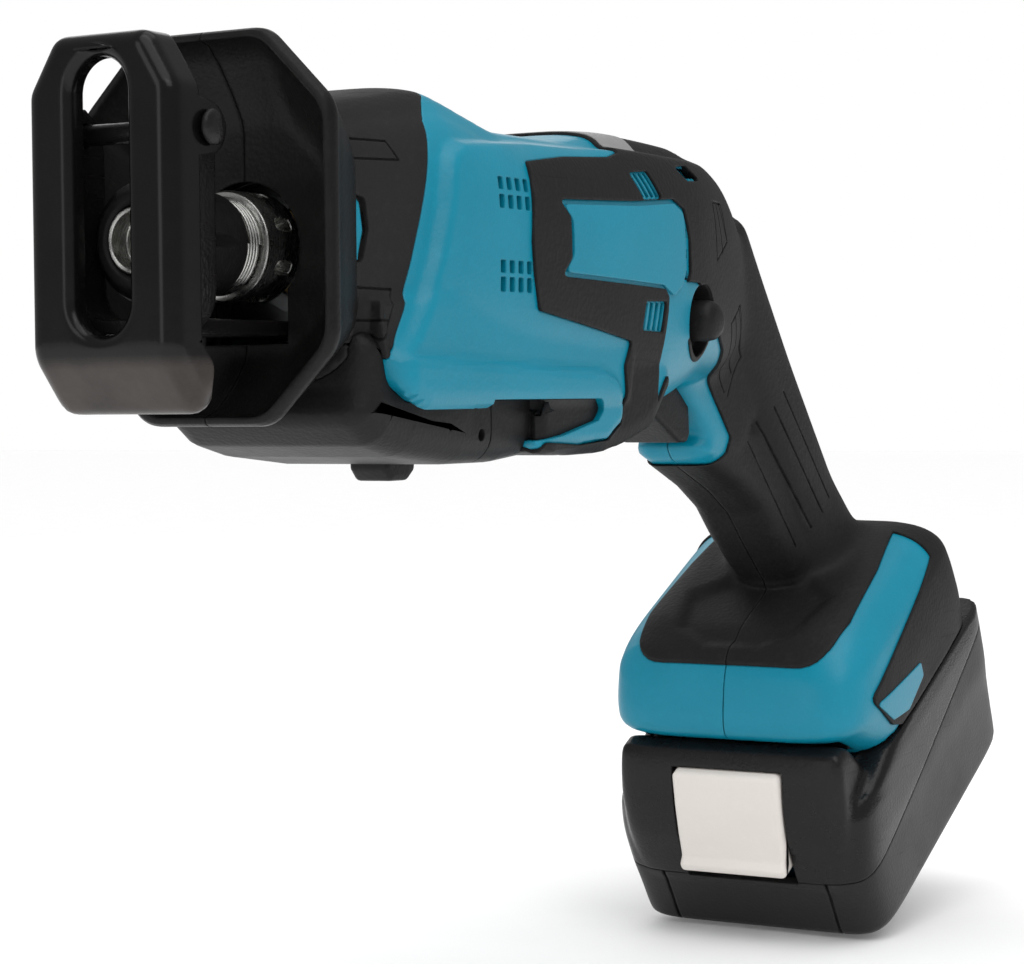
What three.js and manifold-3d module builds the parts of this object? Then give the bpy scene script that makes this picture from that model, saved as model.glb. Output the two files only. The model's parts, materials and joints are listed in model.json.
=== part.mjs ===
// Cordless reciprocating saw with a slide-on battery. Millimetres, +X forward, +Y the tool's left, +Z up.
// Everything is drawn about the stroke axis: X = 0 is the shoe's front face and Z = 0 the plunger's axis.
// The finished group is then moved so that its origin is the middle of the bottom of its box.
import * as THREE from 'three';
import { mergeVertices } from 'three/addons/utils/BufferGeometryUtils.js';
import Module from 'manifold-3d';

const wasm = await Module();
wasm.setup();

// ---------------------------------------------------------------- driving dimensions
const GAP = 0.3;                 // running or seam gap between two pieces
const SEAM = 0.15;               // half of the gap between left and right halves
const RUBBER = 2.0;              // thickness of the rubber grip layer
const WALL = 4.2;                // housing wall, grip layer included
const ROUND = 20;                // sides of a round section

const SHOE = { half: 17, top: 37.5, fold: -22, foot: -33.5, sheet: 2.5, depth: 8.5, slotHalf: 6.4 };
const SHOE_SLOT = { top: 33, bottom: -18 };
const PIVOT = { x: -11.5, z: 20, r: 2 };
const CARRIER = { outer: 14.1, sheet: 2.2, top: 24, base: -14.5, baseThick: 3, rear: -82, armHalf: 9 };
const CLAMP = { front: -10.5, collar: -38, rear: -50, collarR: 11, tubeR: 8, sleeveR: 10.5, sleeveRear: -33 };
const PLUNGER = { r: 6, yokeFront: -88, yokeRear: -99, yokeHalf: 15, yokeThick: 5 };
const CRANK = { x: -100, r: 20, throw: 6.5, teeth: 32, bottom: 9.2, top: 13, toothTip: 7.9, toothInner: 14 };
const TOOTH = 0.8;               // thickness of a gear tooth
const MOTOR = { z: 3.5, canR: 20, canFront: -141, canRear: -180, shaftR: 2.5, shaftRear: -192 };
const PINION = { teeth: 9, root: 3.6, tip: 5.2, front: -113.8, rear: -121 };
const GUARD = { rim: -32, floor: -45, rear: -49, half: 30, bottom: -35, top: 41 };
const FRONT_SPLIT = { topX: -90, topZ: 33, bottomX: -52, bottomZ: -28 };
const GEAR_CASE = { front: -66, rear: -131, wall: 3 };
const BUSH = { front: -65, rear: -79.8, wall: 3 };
const TRIGGER = { half: 8.5, slack: 0.5 };
const LOCK_OFF = { x: -194, z: -12, r: 5, half: 29.5 };

const TILT = THREE.MathUtils.degToRad(27);      // the battery's long axis rises to the rear
const BATTERY_AT = { x: -280, z: -177 };        // front lower edge of the battery
const DECK = 56;                                // underside of the foot above the battery's base
const SHOULDER = 46;                            // underside of the foot's side rails
const RAIL_HALF = 29.7;

// body sections along X: x, half width, bottom, top
const BODY = [
  [-50, 24.5, -27.0, 29.0], [-66, 27.0, -29.0, 32.0], [-84, 28.2, -30.0, 34.5], [-92, 28.4, -30.4, 33.2],
  [-100, 28.6, -30.7, 31.3], [-116, 28.8, -31.6, 28.4], [-140, 28.8, -33.5, 28.6], [-156, 28.4, -35.5, 30.6],
  [-170, 27.8, -36.5, 31.4], [-186, 26.5, -33.0, 31.2], [-206, 24.0, -28.0, 30.5], [-220, 21.0, -27.0, 27.8],
  [-232, 17.8, -24.5, 21.5], [-243, 14.0, -20.0, 13.0], [-251, 9.5, -10.0, 5.0],
];
const BODY_SQUARE = 3.4;

// handle sections: distance along its axis, half depth, half width
const HANDLE_FROM = { x: -236.5, z: 7 };
const HANDLE_SLOPE = THREE.MathUtils.degToRad(49.7);
const HANDLE = [[0, 17, 15.2], [24, 16, 14.8], [50, 15.4, 14.4], [84, 15.6, 14.4], [104, 17.5, 16.5],
  [124, 19.5, 19.5]];

// the handle's front flares into a lip under the trigger
const LIP = [[-226, -42.4], [-229, -46], [-237, -49], [-250, -54], [-262, -60.5], [-270, -68], [-284, -80],
  [-300, -80], [-280, -50], [-262, -36], [-234, -38]];
const LIP_HOLLOW = [[-236, -41], [-241, -45], [-254, -51], [-266, -62], [-290, -80], [-280, -50], [-262, -36]];
const LIP_HALF = 10;

// foot sections in the battery's frame: height, front, rear, half width
const FOOT = [[46, -21, -99, 37], [55, -12, -99.5, 37.6], [60, -7, -99, 37.8], [71, -12, -97, 37.2],
  [78, -19, -91, 33.5], [81.5, -29, -82, 27]];

// battery sections in its own frame: height, front, rear, half width
const PACK = [[0, -3, -101, 34.5], [2.5, -0.6, -104, 36.6], [21, 1.2, -104.5, 37.4], [30, 0.6, -105, 38],
  [36.5, -1.2, -105, 38], [45.4, -7, -105.5, 37.6]];
const PACK_HEAD = [[18, 1.6, -24, 32.6], [32, 2.6, -24, 33.4], [40, 1.6, -21, 33.4], [48, -1, -16.6, 33],
  [55.4, -5.6, -10.4, 31]];
const PACK_SQUARE = 11;
const PACK_SEAM = { front: 20, rear: 40 };

const COLOURS = {
  teal: 0x0087a8, black: 0x1b1b1d, gloss: 0x0c0c0e, rubber: 0x161618, steel: 0xb9bbbe, dark: 0x55585c,
  copper: 0xb56a3a, cast: 0x8d9093, cream: 0xdedace, cell: 0x2f6f9a, brass: 0xc9a24d, magnet: 0x3a3d42,
};

// ---------------------------------------------------------------- solids from three.js shapes
function solid(geometry) {
  const bare = geometry.index ? geometry.clone() : geometry;
  bare.deleteAttribute('normal');
  bare.deleteAttribute('uv');
  const merged = mergeVertices(bare, 1e-4);
  return new wasm.Manifold(new wasm.Mesh({
    numProp: 3,
    vertProperties: new Float32Array(merged.attributes.position.array),
    triVerts: new Uint32Array(merged.index.array),
  }));
}

function toGeometry(manifold) {
  const mesh = manifold.getMesh();
  const geometry = new THREE.BufferGeometry();
  geometry.setAttribute('position', new THREE.BufferAttribute(new Float32Array(mesh.vertProperties), 3));
  geometry.setIndex(new THREE.BufferAttribute(new Uint32Array(mesh.triVerts), 1));
  geometry.computeVertexNormals();
  return geometry;
}

function joined(parts) {
  return parts.reduce((all, part) => all.add(part));
}

function block(x0, x1, y0, y1, z0, z1) {
  const box = new THREE.BoxGeometry(Math.abs(x1 - x0), Math.abs(y1 - y0), Math.abs(z1 - z0));
  return solid(box.translate((x0 + x1) / 2, (y0 + y1) / 2, (z0 + z1) / 2));
}

// a round bar or ring from a to b along an axis, through (u, v) on the other two axes in X, Y, Z order
function rod(axis, radius, a, b, u = 0, v = 0, sides = ROUND) {
  const bar = new THREE.CylinderGeometry(radius, radius, Math.abs(b - a), sides);
  const middle = (a + b) / 2;
  if (axis === 'x') bar.rotateZ(Math.PI / 2).translate(middle, u, v);
  if (axis === 'y') bar.translate(u, middle, v);
  if (axis === 'z') bar.rotateX(Math.PI / 2).translate(u, v, middle);
  return solid(bar);
}

function ring(axis, outer, inner, a, b, u = 0, v = 0, sides = ROUND) {
  return rod(axis, outer, a, b, u, v, sides).subtract(rod(axis, inner, a - 1, b + 1, u, v, sides));
}

// an outline in X and Z, extruded across Y
function slab(points, y0, y1, bevel = 0) {
  const shape = new THREE.Shape(points.map(([x, z]) => new THREE.Vector2(x, z)));
  const depth = y1 - y0 - 2 * bevel;
  const body = new THREE.ExtrudeGeometry(shape, {
    depth, bevelEnabled: bevel > 0, bevelSize: bevel, bevelThickness: bevel, bevelOffset: -bevel, bevelSegments: 3,
  });
  return solid(body.rotateX(Math.PI / 2).translate(0, y1 - bevel, 0));
}

// an outline in Y and Z, extruded along X
function plate(points, x0, x1) {
  const shape = new THREE.Shape(points.map(([y, z]) => new THREE.Vector2(y, z)));
  const body = new THREE.ExtrudeGeometry(shape, { depth: x1 - x0, bevelEnabled: false });
  return solid(body.rotateX(Math.PI / 2).rotateZ(Math.PI / 2).translate(x0, 0, 0));
}

// a closed body through rings of points, with flat ends
function loft(rings) {
  const count = rings[0].length;
  const centres = [rings[0], rings[rings.length - 1]].map((points) => points
    .reduce((sum, point) => sum.add(point), new THREE.Vector3()).divideScalar(count));
  const position = [...rings.flat(), ...centres].flatMap((point) => point.toArray());
  const index = [];
  const [first, last] = [rings.length * count, rings.length * count + 1];
  for (let i = 0; i < count; i += 1) {
    const next = (i + 1) % count;
    for (let row = 0; row < rings.length - 1; row += 1) {
      const [a, b] = [row * count + i, row * count + next];
      index.push(a, b, b + count, a, b + count, a + count);
    }
    const end = (rings.length - 1) * count;
    index.push(first, next, i, last, end + i, end + next);
  }
  const geometry = new THREE.BufferGeometry();
  geometry.setAttribute('position', new THREE.Float32BufferAttribute(position, 3));
  geometry.setIndex(index);
  if (signedVolume(position, index) < 0) geometry.setIndex(index.reverse());
  return geometry;
}

function signedVolume(position, index) {
  const corner = (i) => new THREE.Vector3().fromArray(position, 3 * i);
  let volume = 0;
  for (let i = 0; i < index.length; i += 3) {
    volume += corner(index[i]).dot(corner(index[i + 1]).cross(corner(index[i + 2]))) / 6;
  }
  return volume;
}

// a rounded section: place(u, v) puts the section's own two directions into space
function section(halfU, halfV, square, place, count = ROUND) {
  const power = 2 / square;
  return Array.from({ length: count }, (unused, i) => {
    const angle = (2 * Math.PI * i) / count;
    const bend = (value) => Math.sign(value) * Math.abs(value) ** power;
    return place(halfU * bend(Math.cos(angle)), halfV * bend(Math.sin(angle)));
  });
}

// an eight-sided section across X with its corners cut and slightly rounded
function octagon(x, half, bottom, top, cut) {
  const corners = [[half - cut, top], [half, top - cut], [half, bottom + cut], [half - cut, bottom],
    [-half + cut, bottom], [-half, bottom + cut], [-half, top - cut], [-half + cut, top]];
  const reach = 0.16;
  return corners.flatMap((corner, i) => {
    const before = corners[(i + 7) % 8];
    const after = corners[(i + 1) % 8];
    const towards = (other) => [0, 1].map((k) => corner[k] + reach * (other[k] - corner[k]));
    const [p, q] = [towards(before), towards(after)];
    const middle = [0, 1].map((k) => 0.5 * corner[k] + 0.25 * (p[k] + q[k]));
    return [p, middle, q].map(([y, z]) => new THREE.Vector3(x, y, z));
  });
}

// ---------------------------------------------------------------- the battery's tilted frame
const TILTED = new THREE.Matrix4().makeRotationY(TILT).setPosition(BATTERY_AT.x, 0, BATTERY_AT.z);

function tilted(manifold) {
  return solid(toGeometry(manifold).applyMatrix4(TILTED));
}

function tiltedLoft(sections, inset, square) {
  return loft(sections.map(([height, front, rear, half], i) => {
    const lift = inset * (1 - (2 * i) / (sections.length - 1));
    const middle = (front + rear) / 2;
    return section((front - rear) / 2 - inset, half - inset, square,
      (u, v) => new THREE.Vector3(middle + u, v, height + lift));
  }));
}

// ---------------------------------------------------------------- outer form of the tool
function bodyForm(inset) {
  const rings = BODY.map(([x, half, bottom, top], i) => {
    const end = i === BODY.length - 1 ? inset : 0;
    return section(half - inset, (top - bottom) / 2 - inset, BODY_SQUARE,
      (u, v) => new THREE.Vector3(x + end, u, (top + bottom) / 2 + v));
  });
  return solid(loft(rings));
}

function handleForm(inset) {
  const along = new THREE.Vector3(-Math.cos(HANDLE_SLOPE), 0, -Math.sin(HANDLE_SLOPE));
  const back = new THREE.Vector3(-Math.sin(HANDLE_SLOPE), 0, Math.cos(HANDLE_SLOPE));
  const start = new THREE.Vector3(HANDLE_FROM.x, 0, HANDLE_FROM.z);
  const rings = HANDLE.map(([distance, depth, half], i) => {
    const end = i === 0 ? inset : 0;
    const centre = start.clone().addScaledVector(along, distance + end);
    return section(half - inset, depth - inset, 2.5,
      (u, v) => new THREE.Vector3(0, u, 0).add(centre).addScaledVector(back, v));
  });
  return solid(loft(rings));
}

function footForm(inset) {
  return solid(tiltedLoft(FOOT, inset, 6).applyMatrix4(TILTED));
}

function lipForm(inset) {
  return slab(grown(LIP, -inset), -LIP_HALF + inset, LIP_HALF - inset);
}

function toolForm(inset) {
  return joined([bodyForm(inset), handleForm(inset), lipForm(inset), footForm(inset)]);
}

// everything in front of the slanted split between the front boot and the housing
function aheadOfSplit(shift) {
  const { topX, topZ, bottomX, bottomZ } = FRONT_SPLIT;
  const slope = (topX - bottomX) / (topZ - bottomZ);
  const at = (z) => bottomX + slope * (z - bottomZ) + shift;
  return slab([[at(-80), -80], [40, -80], [40, 80], [at(80), 80]], -60, 60);
}

// ---------------------------------------------------------------- the rubber grip's outline
const GRIP_OUTLINE = [
  [-109, 21], [-150, 25.5], [-190, 29.5], [-190, 50], [-285, 50], [-345, -30], [-380, -110], [-340, -140],
  [-302, -128], [-285, -97.5], [-230, -97.5], [-232, -66], [-233, -45], [-226, -33], [-212, -22], [-203, -12],
  [-196, -21], [-186, -25], [-176, -24], [-172, -46], [-156, -46], [-158, -24], [-150, -17.5], [-111, -9],
];
const PANEL_WINDOW = [[-117, 12.5], [-180, 14], [-186, 5], [-180, -7.5], [-158, -9.5], [-154, -5], [-117, -4]];
const VENT_WINDOWS = [[-151, -166, 17, 25], [-176, -190, 21.5, 26.5], [-160, -173, -21, -12]];
const SIDE_PANEL_LEAN = [[-249, -94], [-291, -62], [-322, -62], [-288, -135], [-240, -135]];

// moves every side of an outline outwards by a distance
function grown(points, distance) {
  const turn = Math.sign(THREE.ShapeUtils.area(points.map(([x, z]) => new THREE.Vector2(x, z))));
  const side = (from, to) => {
    const run = new THREE.Vector2(to[0] - from[0], to[1] - from[1]).normalize();
    return new THREE.Vector2(run.y * turn, -run.x * turn);
  };
  return points.map((point, i) => {
    const before = side(points[(i + points.length - 1) % points.length], point);
    const after = side(point, points[(i + 1) % points.length]);
    const bisector = before.clone().add(after).normalize();
    const reach = distance / bisector.dot(after);
    return [point[0] + bisector.x * reach, point[1] + bisector.y * reach];
  });
}

// the grip layer's region, each edge moved outwards by grow
function gripRegion(grow) {
  const windows = VENT_WINDOWS.map(([front, rear, bottom, top]) => block(
    rear + grow, front - grow, -60, 60, bottom + grow, top - grow));
  const panels = joined([slab(grown(PANEL_WINDOW, -grow), -60, 60), ...windows]);
  const sidePanel = tilted(joined([block(-66, 20, 28 + grow, 60, 40, 84.5 - grow),
    block(-66, 20, -60, -28 - grow, 40, 84.5 - grow)]));
  const lean = slab(grown(SIDE_PANEL_LEAN, -grow), -60, 60);
  return slab(grown(GRIP_OUTLINE, grow), -60, 60).subtract(panels).subtract(sidePanel.intersect(lean));
}

// ---------------------------------------------------------------- housing halves and grips
const SCREWS = [[-172, -29], [-136, -24.5], [-203, 20], [-240, 6], [-265.5, -27], [-290, -56]];

function screwBosses() {
  return joined(SCREWS.map(([x, z]) => rod('y', 4.4, -60, 60, x, z, 12)));
}

function screwHoles() {
  return joined(SCREWS.map(([x, z]) => joined([
    rod('y', 2.4, -13, 8.5, x, z, 12), rod('y', 3.6, -50, -12, x, z, 12)])));
}

function ventSlots() {
  const slots = [];
  for (const x of [-98.5, -102, -105.5, -109]) {
    for (const z of [12.2, 5.4, -8.2]) slots.push(block(x - 1, x + 1, -60, 60, z - 2.6, z + 2.6));
  }
  for (const [front, rear, bottom, top] of VENT_WINDOWS) {
    const pitch = (front - rear) / 5;
    for (let i = 1; i < 5; i += 1) {
      const x = rear + i * pitch;
      slots.push(block(x - 0.7, x + 0.7, -60, 60, bottom + 1, top - 1));
    }
  }
  const open = joined(slots);
  return open.subtract(block(-300, 0, -18, 18, -60, 60));
}

function bearingRib(x0, x1, radius) {
  const wall = bodyForm(WALL - 1).intersect(block(x0, x1, -60, 60, -60, 60));
  return wall.subtract(rod('x', radius, x0 - 1, x1 + 1, 0, MOTOR.z));
}

function batteryChannel() {
  const lips = joined([block(-200, 60, 26.7, RAIL_HALF + 1, SHOULDER - 1, SHOULDER + 3),
    block(-200, 60, -RAIL_HALF - 1, -26.7, SHOULDER - 1, SHOULDER + 3)]);
  return tilted(block(-200, 60, -RAIL_HALF, RAIL_HALF, SHOULDER - 10, DECK).subtract(lips));
}

function footHollow() {
  return solid(tiltedLoft(FOOT.slice(1), WALL, 6).applyMatrix4(TILTED));
}

const TRIGGER_OUTLINE = [[-196, -24], [-197.5, -30], [-203, -34], [-218, -41.6], [-222, -41.6], [-223.5, -39.5],
  [-222, -23], [-208.5, -23]];

function triggerOpening() {
  return slab([[-181.5, -60], [-181.5, -18.6], [-233, -18.6], [-233, -36], [-231, -38.6], [-225.6, -42], [-225.6, -60]],
    -TRIGGER.half - TRIGGER.slack, TRIGGER.half + TRIGGER.slack);
}

function terminalWindow() {
  return tilted(block(-94, -58, -13, 13, SHOULDER, 64));
}

function housings() {
  const hollow = joined([bodyForm(WALL), handleForm(WALL), slab(LIP_HOLLOW, -5.8, 5.8), footHollow()]);
  const grip = gripRegion(0);
  const layer = toolForm(-1).subtract(toolForm(RUBBER + GAP)).intersect(gripRegion(GAP));
  const ribs = joined([bearingRib(-190.6, -186.4, 7 + GAP), bearingRib(-153, -150, MOTOR.canR + GAP)]);
  const bosses = screwBosses();
  const inside = hollow.subtract(ribs).subtract(bosses);
  const openings = joined([aheadOfSplit(GAP / 2), ventSlots(), batteryChannel(), triggerOpening(), screwHoles(),
    rod('y', LOCK_OFF.r + GAP + 0.2, -60, 60, LOCK_OFF.x, LOCK_OFF.z), terminalWindow()]);
  const shell = toolForm(0).subtract(inside).subtract(layer).subtract(openings);
  const rubber = toolForm(0).subtract(toolForm(RUBBER)).intersect(grip).subtract(openings);
  const left = block(-500, 100, SEAM, 90, -300, 100);
  const right = block(-500, 100, -90, -SEAM, -300, 100);
  return {
    housing_left: shell.intersect(left),
    housing_right: shell.intersect(right),
    grip_left: rubber.intersect(left),
    grip_right: rubber.intersect(right),
  };
}

// ---------------------------------------------------------------- front end
function shoe() {
  const face = (inset) => {
    const [half, top] = [SHOE.half - inset, SHOE.top - inset];
    return [[-half, -60], [half, -60], [half, top - 10.5], [half - 6.5, top], [-half + 6.5, top], [-half, top - 10.5]];
  };
  const rear = -SHOE.depth;
  const outer = slab([[0, 60], [0, SHOE.fold], [-9.5, SHOE.foot], [-12, SHOE.foot], [-12, -24], [rear, -18],
    [rear, 60]], -60, 60).intersect(plate(face(0), -60, 10));
  const t = SHOE.sheet;
  const inner = slab([[-t, 60], [-t, SHOE.fold - 1], [-11, SHOE.foot + t], [-60, SHOE.foot + t], [-60, 60]],
    -60, 60).intersect(plate(face(t), -70, 10));
  const slotHalf = SHOE.slotHalf;
  const slot = joined([
    block(-5, 5, -slotHalf, slotHalf, SHOE_SLOT.bottom + slotHalf, SHOE_SLOT.top - slotHalf),
    rod('x', slotHalf, -5, 5, 0, SHOE_SLOT.top - slotHalf),
    rod('x', slotHalf, -5, 5, 0, SHOE_SLOT.bottom + slotHalf)]);
  const lugs = [1, -1].map((side) => rod('y', 5, side * (SHOE.half - t), side * SHOE.half, PIVOT.x, PIVOT.z)
    .add(block(PIVOT.x, rear + 1, side * (SHOE.half - t), side * SHOE.half, PIVOT.z - 5, PIVOT.z + 5)));
  return joined([outer.subtract(inner), ...lugs]).subtract(slot)
    .subtract(rod('y', PIVOT.r + GAP, -30, 30, PIVOT.x, PIVOT.z, 16));
}

function shoeCarrier() {
  const bottom = CARRIER.base - CARRIER.baseThick;
  const ear = [[-8, bottom], [-8, CARRIER.top], [-14, CARRIER.top + 1], [-17, 18], [-17, bottom]];
  const inner = CARRIER.outer - CARRIER.sheet;
  return joined([
    slab(ear, inner, CARRIER.outer), slab(ear, -CARRIER.outer, -inner),
    block(-20, -8, -CARRIER.outer, CARRIER.outer, bottom, CARRIER.base),
    block(CARRIER.rear, -19, -CARRIER.armHalf, CARRIER.armHalf, bottom, CARRIER.base),
  ]).subtract(rod('y', PIVOT.r + GAP, -30, 30, PIVOT.x, PIVOT.z, 16));
}

function shoePin() {
  const heads = [1, -1].map((side) => rod('y', 3.2, side * 17.4, side * 19, PIVOT.x, PIVOT.z, 16));
  return joined([rod('y', PIVOT.r, -18, 18, PIVOT.x, PIVOT.z, 16), ...heads]);
}

function guardHalves() {
  const { rim, floor, rear, half, bottom, top } = GUARD;
  const outer = solid(loft([
    octagon(rim, half - 1, bottom + 1, top - 1, 15), octagon(rim - 1.5, half, bottom, top, 15),
    octagon(rim - 5, half - 1, bottom + 1, top - 1, 15), octagon(rear, 24, -26.5, 28.5, 11)]));
  const dish = solid(loft([
    octagon(rim + 1, half - 3.2, bottom + 3.2, top - 3.2, 14), octagon(rim - 3, half - 4, bottom + 4, top - 4, 14),
    octagon(floor, 19.5, -21.5, 23.5, 9)]));
  const mouth = joined([rod('x', 13, rear - 1, rim), block(rear - 1, rim, -10, 10, -19, 0)]);
  const shell = outer.subtract(dish).subtract(mouth);
  return {
    guard_left: shell.intersect(block(-60, 0, SEAM, 60, -60, 60)),
    guard_right: shell.intersect(block(-60, 0, -60, -SEAM, -60, 60)),
  };
}

function frontBoot() {
  const skin = bodyForm(0).intersect(aheadOfSplit(GAP / 2 + 0.15));
  const inside = bodyForm(3).intersect(block(-200, -54, -60, 60, -60, 60));
  const mouth = joined([rod('x', 13, -60, -40), block(-60, -40, -10, 10, -19, 0)]);
  return skin.subtract(inside).subtract(mouth);
}

function gearHousing() {
  const { front, rear, wall } = GEAR_CASE;
  const outer = bodyForm(WALL + GAP).intersect(block(rear, front, -60, 60, -60, 60));
  const hollow = bodyForm(WALL + GAP + wall).intersect(block(rear + 4, front - 6, -60, 60, -60, 60));
  const bushHole = rod('x', PLUNGER.r + BUSH.wall + GAP, front - 20, front + 5);
  const holes = joined([
    bushHole,
    block(CARRIER.rear - 5, front + 5, -CARRIER.armHalf - 0.4, CARRIER.armHalf + 0.4,
      CARRIER.base - CARRIER.baseThick - 0.4, CARRIER.base + 0.4),
    rod('x', 8 + GAP, rear - 1, rear + 5, 0, MOTOR.z),
    rod('z', 10 + GAP, 14.5, 22, CRANK.x, 0)]);
  const boss = ring('z', 13.5, 10 + GAP, 15, 23.4, CRANK.x, 0);
  const nose = rod('x', 12.6, front - 8, front + 2).subtract(bushHole);
  return joined([outer.subtract(hollow), boss]).subtract(holes).add(nose.subtract(block(-80, -40, -10, 10, -30, -14)));
}

// ---------------------------------------------------------------- blade clamp and plunger
function bladeHolder() {
  const { front, collar, rear, collarR, tubeR } = CLAMP;
  const windows = [-6.6, 0, 6.6].map((z) => block(-46.5, -41, 5, 20, z - 1.6, z + 1.6));
  return joined([rod('x', tubeR, collar, front), rod('x', collarR, rear, collar)])
    .subtract(joined([block(-32, 5, -0.8, 0.8, -6.5, 6.5), rod('y', 1.8, 2, 20, -24, 0, 12), ...windows]));
}

function clampSleeve() {
  const { front, sleeveR, tubeR, sleeveRear } = CLAMP;
  const grips = Array.from({ length: 8 }, (unused, i) => {
    const angle = (i * Math.PI) / 4;
    return rod('x', 1.3, sleeveRear + 1.5, front - 3, sleeveR * Math.cos(angle), sleeveR * Math.sin(angle), 12);
  });
  return joined([rod('x', sleeveR, sleeveRear, front - 1.2)]).subtract(joined(grips))
    .subtract(rod('x', tubeR + GAP, -60, 5));
}

function coil(x0, x1, radius, wire, turns) {
  class Helix extends THREE.Curve {
    getPoint(t, target = new THREE.Vector3()) {
      const angle = 2 * Math.PI * turns * t;
      return target.set(x0 + (x1 - x0) * t, radius * Math.cos(angle), radius * Math.sin(angle));
    }
  }
  const wireShape = new THREE.Shape(Array.from({ length: 5 }, (unused, i) => {
    const angle = (i * 2 * Math.PI) / 5;
    return new THREE.Vector2(wire * Math.cos(angle), wire * Math.sin(angle));
  }));
  return solid(new THREE.ExtrudeGeometry(wireShape, { steps: turns * 14, extrudePath: new Helix() }));
}

function plunger() {
  const { r, yokeFront, yokeRear, yokeHalf, yokeThick } = PLUNGER;
  const yoke = block(yokeRear, yokeFront, -yokeHalf, yokeHalf, -yokeThick, yokeThick);
  const slot = block(yokeRear + 2, yokeFront - 2, -yokeHalf + 4, yokeHalf - 4, -10, 10);
  return joined([rod('x', r, yokeFront - 1, CLAMP.rear - GAP), yoke]).subtract(slot);
}

// ---------------------------------------------------------------- drive
function crankGear() {
  const { x, r, bottom, top, teeth, toothTip, toothInner } = CRANK;
  const parts = [rod('z', r, bottom, top, x, 0, 32), rod('z', 4, top - 0.5, 21.8, x, 0)];
  for (let i = 0; i < teeth; i += 1) {
    const tooth = new THREE.BoxGeometry(r - 0.5 - toothInner, TOOTH, bottom - toothTip + 0.6);
    tooth.translate((r - 0.5 + toothInner) / 2, 0, (bottom + 0.6 + toothTip) / 2);
    tooth.rotateZ(((i + 0.5) * 2 * Math.PI) / teeth).translate(x, 0, 0);
    parts.push(solid(tooth));
  }
  return joined(parts);
}

function crankPin() {
  return rod('z', 3, PLUNGER.r + GAP, CRANK.bottom - GAP, CRANK.x + CRANK.throw, 0, 24);
}

function armatureShaft() {
  const parts = [rod('x', MOTOR.shaftR, MOTOR.shaftRear, PINION.rear + 1, 0, MOTOR.z, 24),
    rod('x', PINION.root, PINION.rear, PINION.front, 0, MOTOR.z, 18)];
  for (let i = 0; i < PINION.teeth; i += 1) {
    const tooth = new THREE.BoxGeometry(PINION.front - PINION.rear, TOOTH, PINION.tip - 2);
    tooth.translate((PINION.front + PINION.rear) / 2, 0, (PINION.tip + 2) / 2);
    tooth.rotateX((i * 2 * Math.PI) / PINION.teeth).translate(0, 0, MOTOR.z);
    parts.push(solid(tooth));
  }
  return joined(parts);
}

function armatureCore() {
  const slots = Array.from({ length: 10 }, (unused, i) => {
    const slot = new THREE.BoxGeometry(60, 2.4, 5).translate(-158, 0, 13.5);
    return solid(slot.rotateX((i * Math.PI) / 5).translate(0, 0, MOTOR.z));
  });
  return ring('x', 14.6, MOTOR.shaftR + GAP, -170, -146, 0, MOTOR.z).subtract(joined(slots));
}

function windings() {
  const coils = [[-173, -170.4], [-145.6, -143]].map(([a, b]) => ring('x', 13.6, 5, a, b, 0, MOTOR.z));
  for (let i = 0; i < 10; i += 2) {
    const bar = new THREE.BoxGeometry(28, 1.6, 2).translate(-158, 0, 12.5);
    coils.push(solid(bar.rotateX((i * Math.PI) / 5).translate(0, 0, MOTOR.z)));
  }
  return joined(coils);
}

function commutator() {
  const cuts = Array.from({ length: 6 }, (unused, i) => {
    const cut = new THREE.BoxGeometry(6, 0.6, 20).translate(-177, 0, 0);
    return solid(cut.rotateX((i * Math.PI) / 6).translate(0, 0, MOTOR.z));
  });
  const bars = ring('x', 8, MOTOR.shaftR + GAP, -181, -174, 0, MOTOR.z);
  return bars.subtract(joined(cuts).intersect(ring('x', 12, 7, -180, -170, 0, MOTOR.z)));
}

function motorCan() {
  const ports = [0, 1, 2, 3].map((i) => {
    const port = new THREE.BoxGeometry(8, 7, 60).translate(-174, 0, 0);
    return solid(port.rotateX((i * Math.PI) / 4 + Math.PI / 8).translate(0, 0, MOTOR.z));
  });
  return ring('x', MOTOR.canR, MOTOR.canR - 2, MOTOR.canRear, MOTOR.canFront, 0, MOTOR.z).subtract(joined(ports));
}

function motorMagnet(side) {
  const full = ring('x', 17.7, 15.2, -169, -144, 0, MOTOR.z);
  return full.intersect(block(-200, -100, -60, 60, MOTOR.z + side * 5, MOTOR.z + side * 60));
}

function motorFan() {
  const blades = Array.from({ length: 9 }, (unused, i) => {
    const blade = new THREE.BoxGeometry(4.1, 1.4, 12.2).translate(-136.3, 0, 10.7);
    return solid(blade.rotateX((i * 2 * Math.PI) / 9).translate(0, 0, MOTOR.z));
  });
  const disc = joined([rod('x', 17.5, -134.6, -133, 0, MOTOR.z), rod('x', 6, -138.4, -133, 0, MOTOR.z, 24)]);
  return joined([disc, ...blades]).subtract(rod('x', MOTOR.shaftR + GAP, -150, -120, 0, MOTOR.z, 24));
}

function brushHolder(side) {
  return block(-180.5, -174.5, side * 9.5, side * 17.2, MOTOR.z - 4.5, MOTOR.z + 4.5)
    .subtract(block(-179, -176, side * 5, side * 18, MOTOR.z - 3, MOTOR.z + 3));
}

function carbonBrush(side) {
  return block(-178.7, -176.3, side * 8.4, side * 16, MOTOR.z - 2.7, MOTOR.z + 2.7);
}

function endBell() {
  const feet = [1, -1].map((side) => block(-182, -181, side * 10, side * 17, MOTOR.z - 4, MOTOR.z + 4));
  return joined([ring('x', MOTOR.canR, 4, -184.5, -181.3, 0, MOTOR.z), ...feet]);
}

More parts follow.
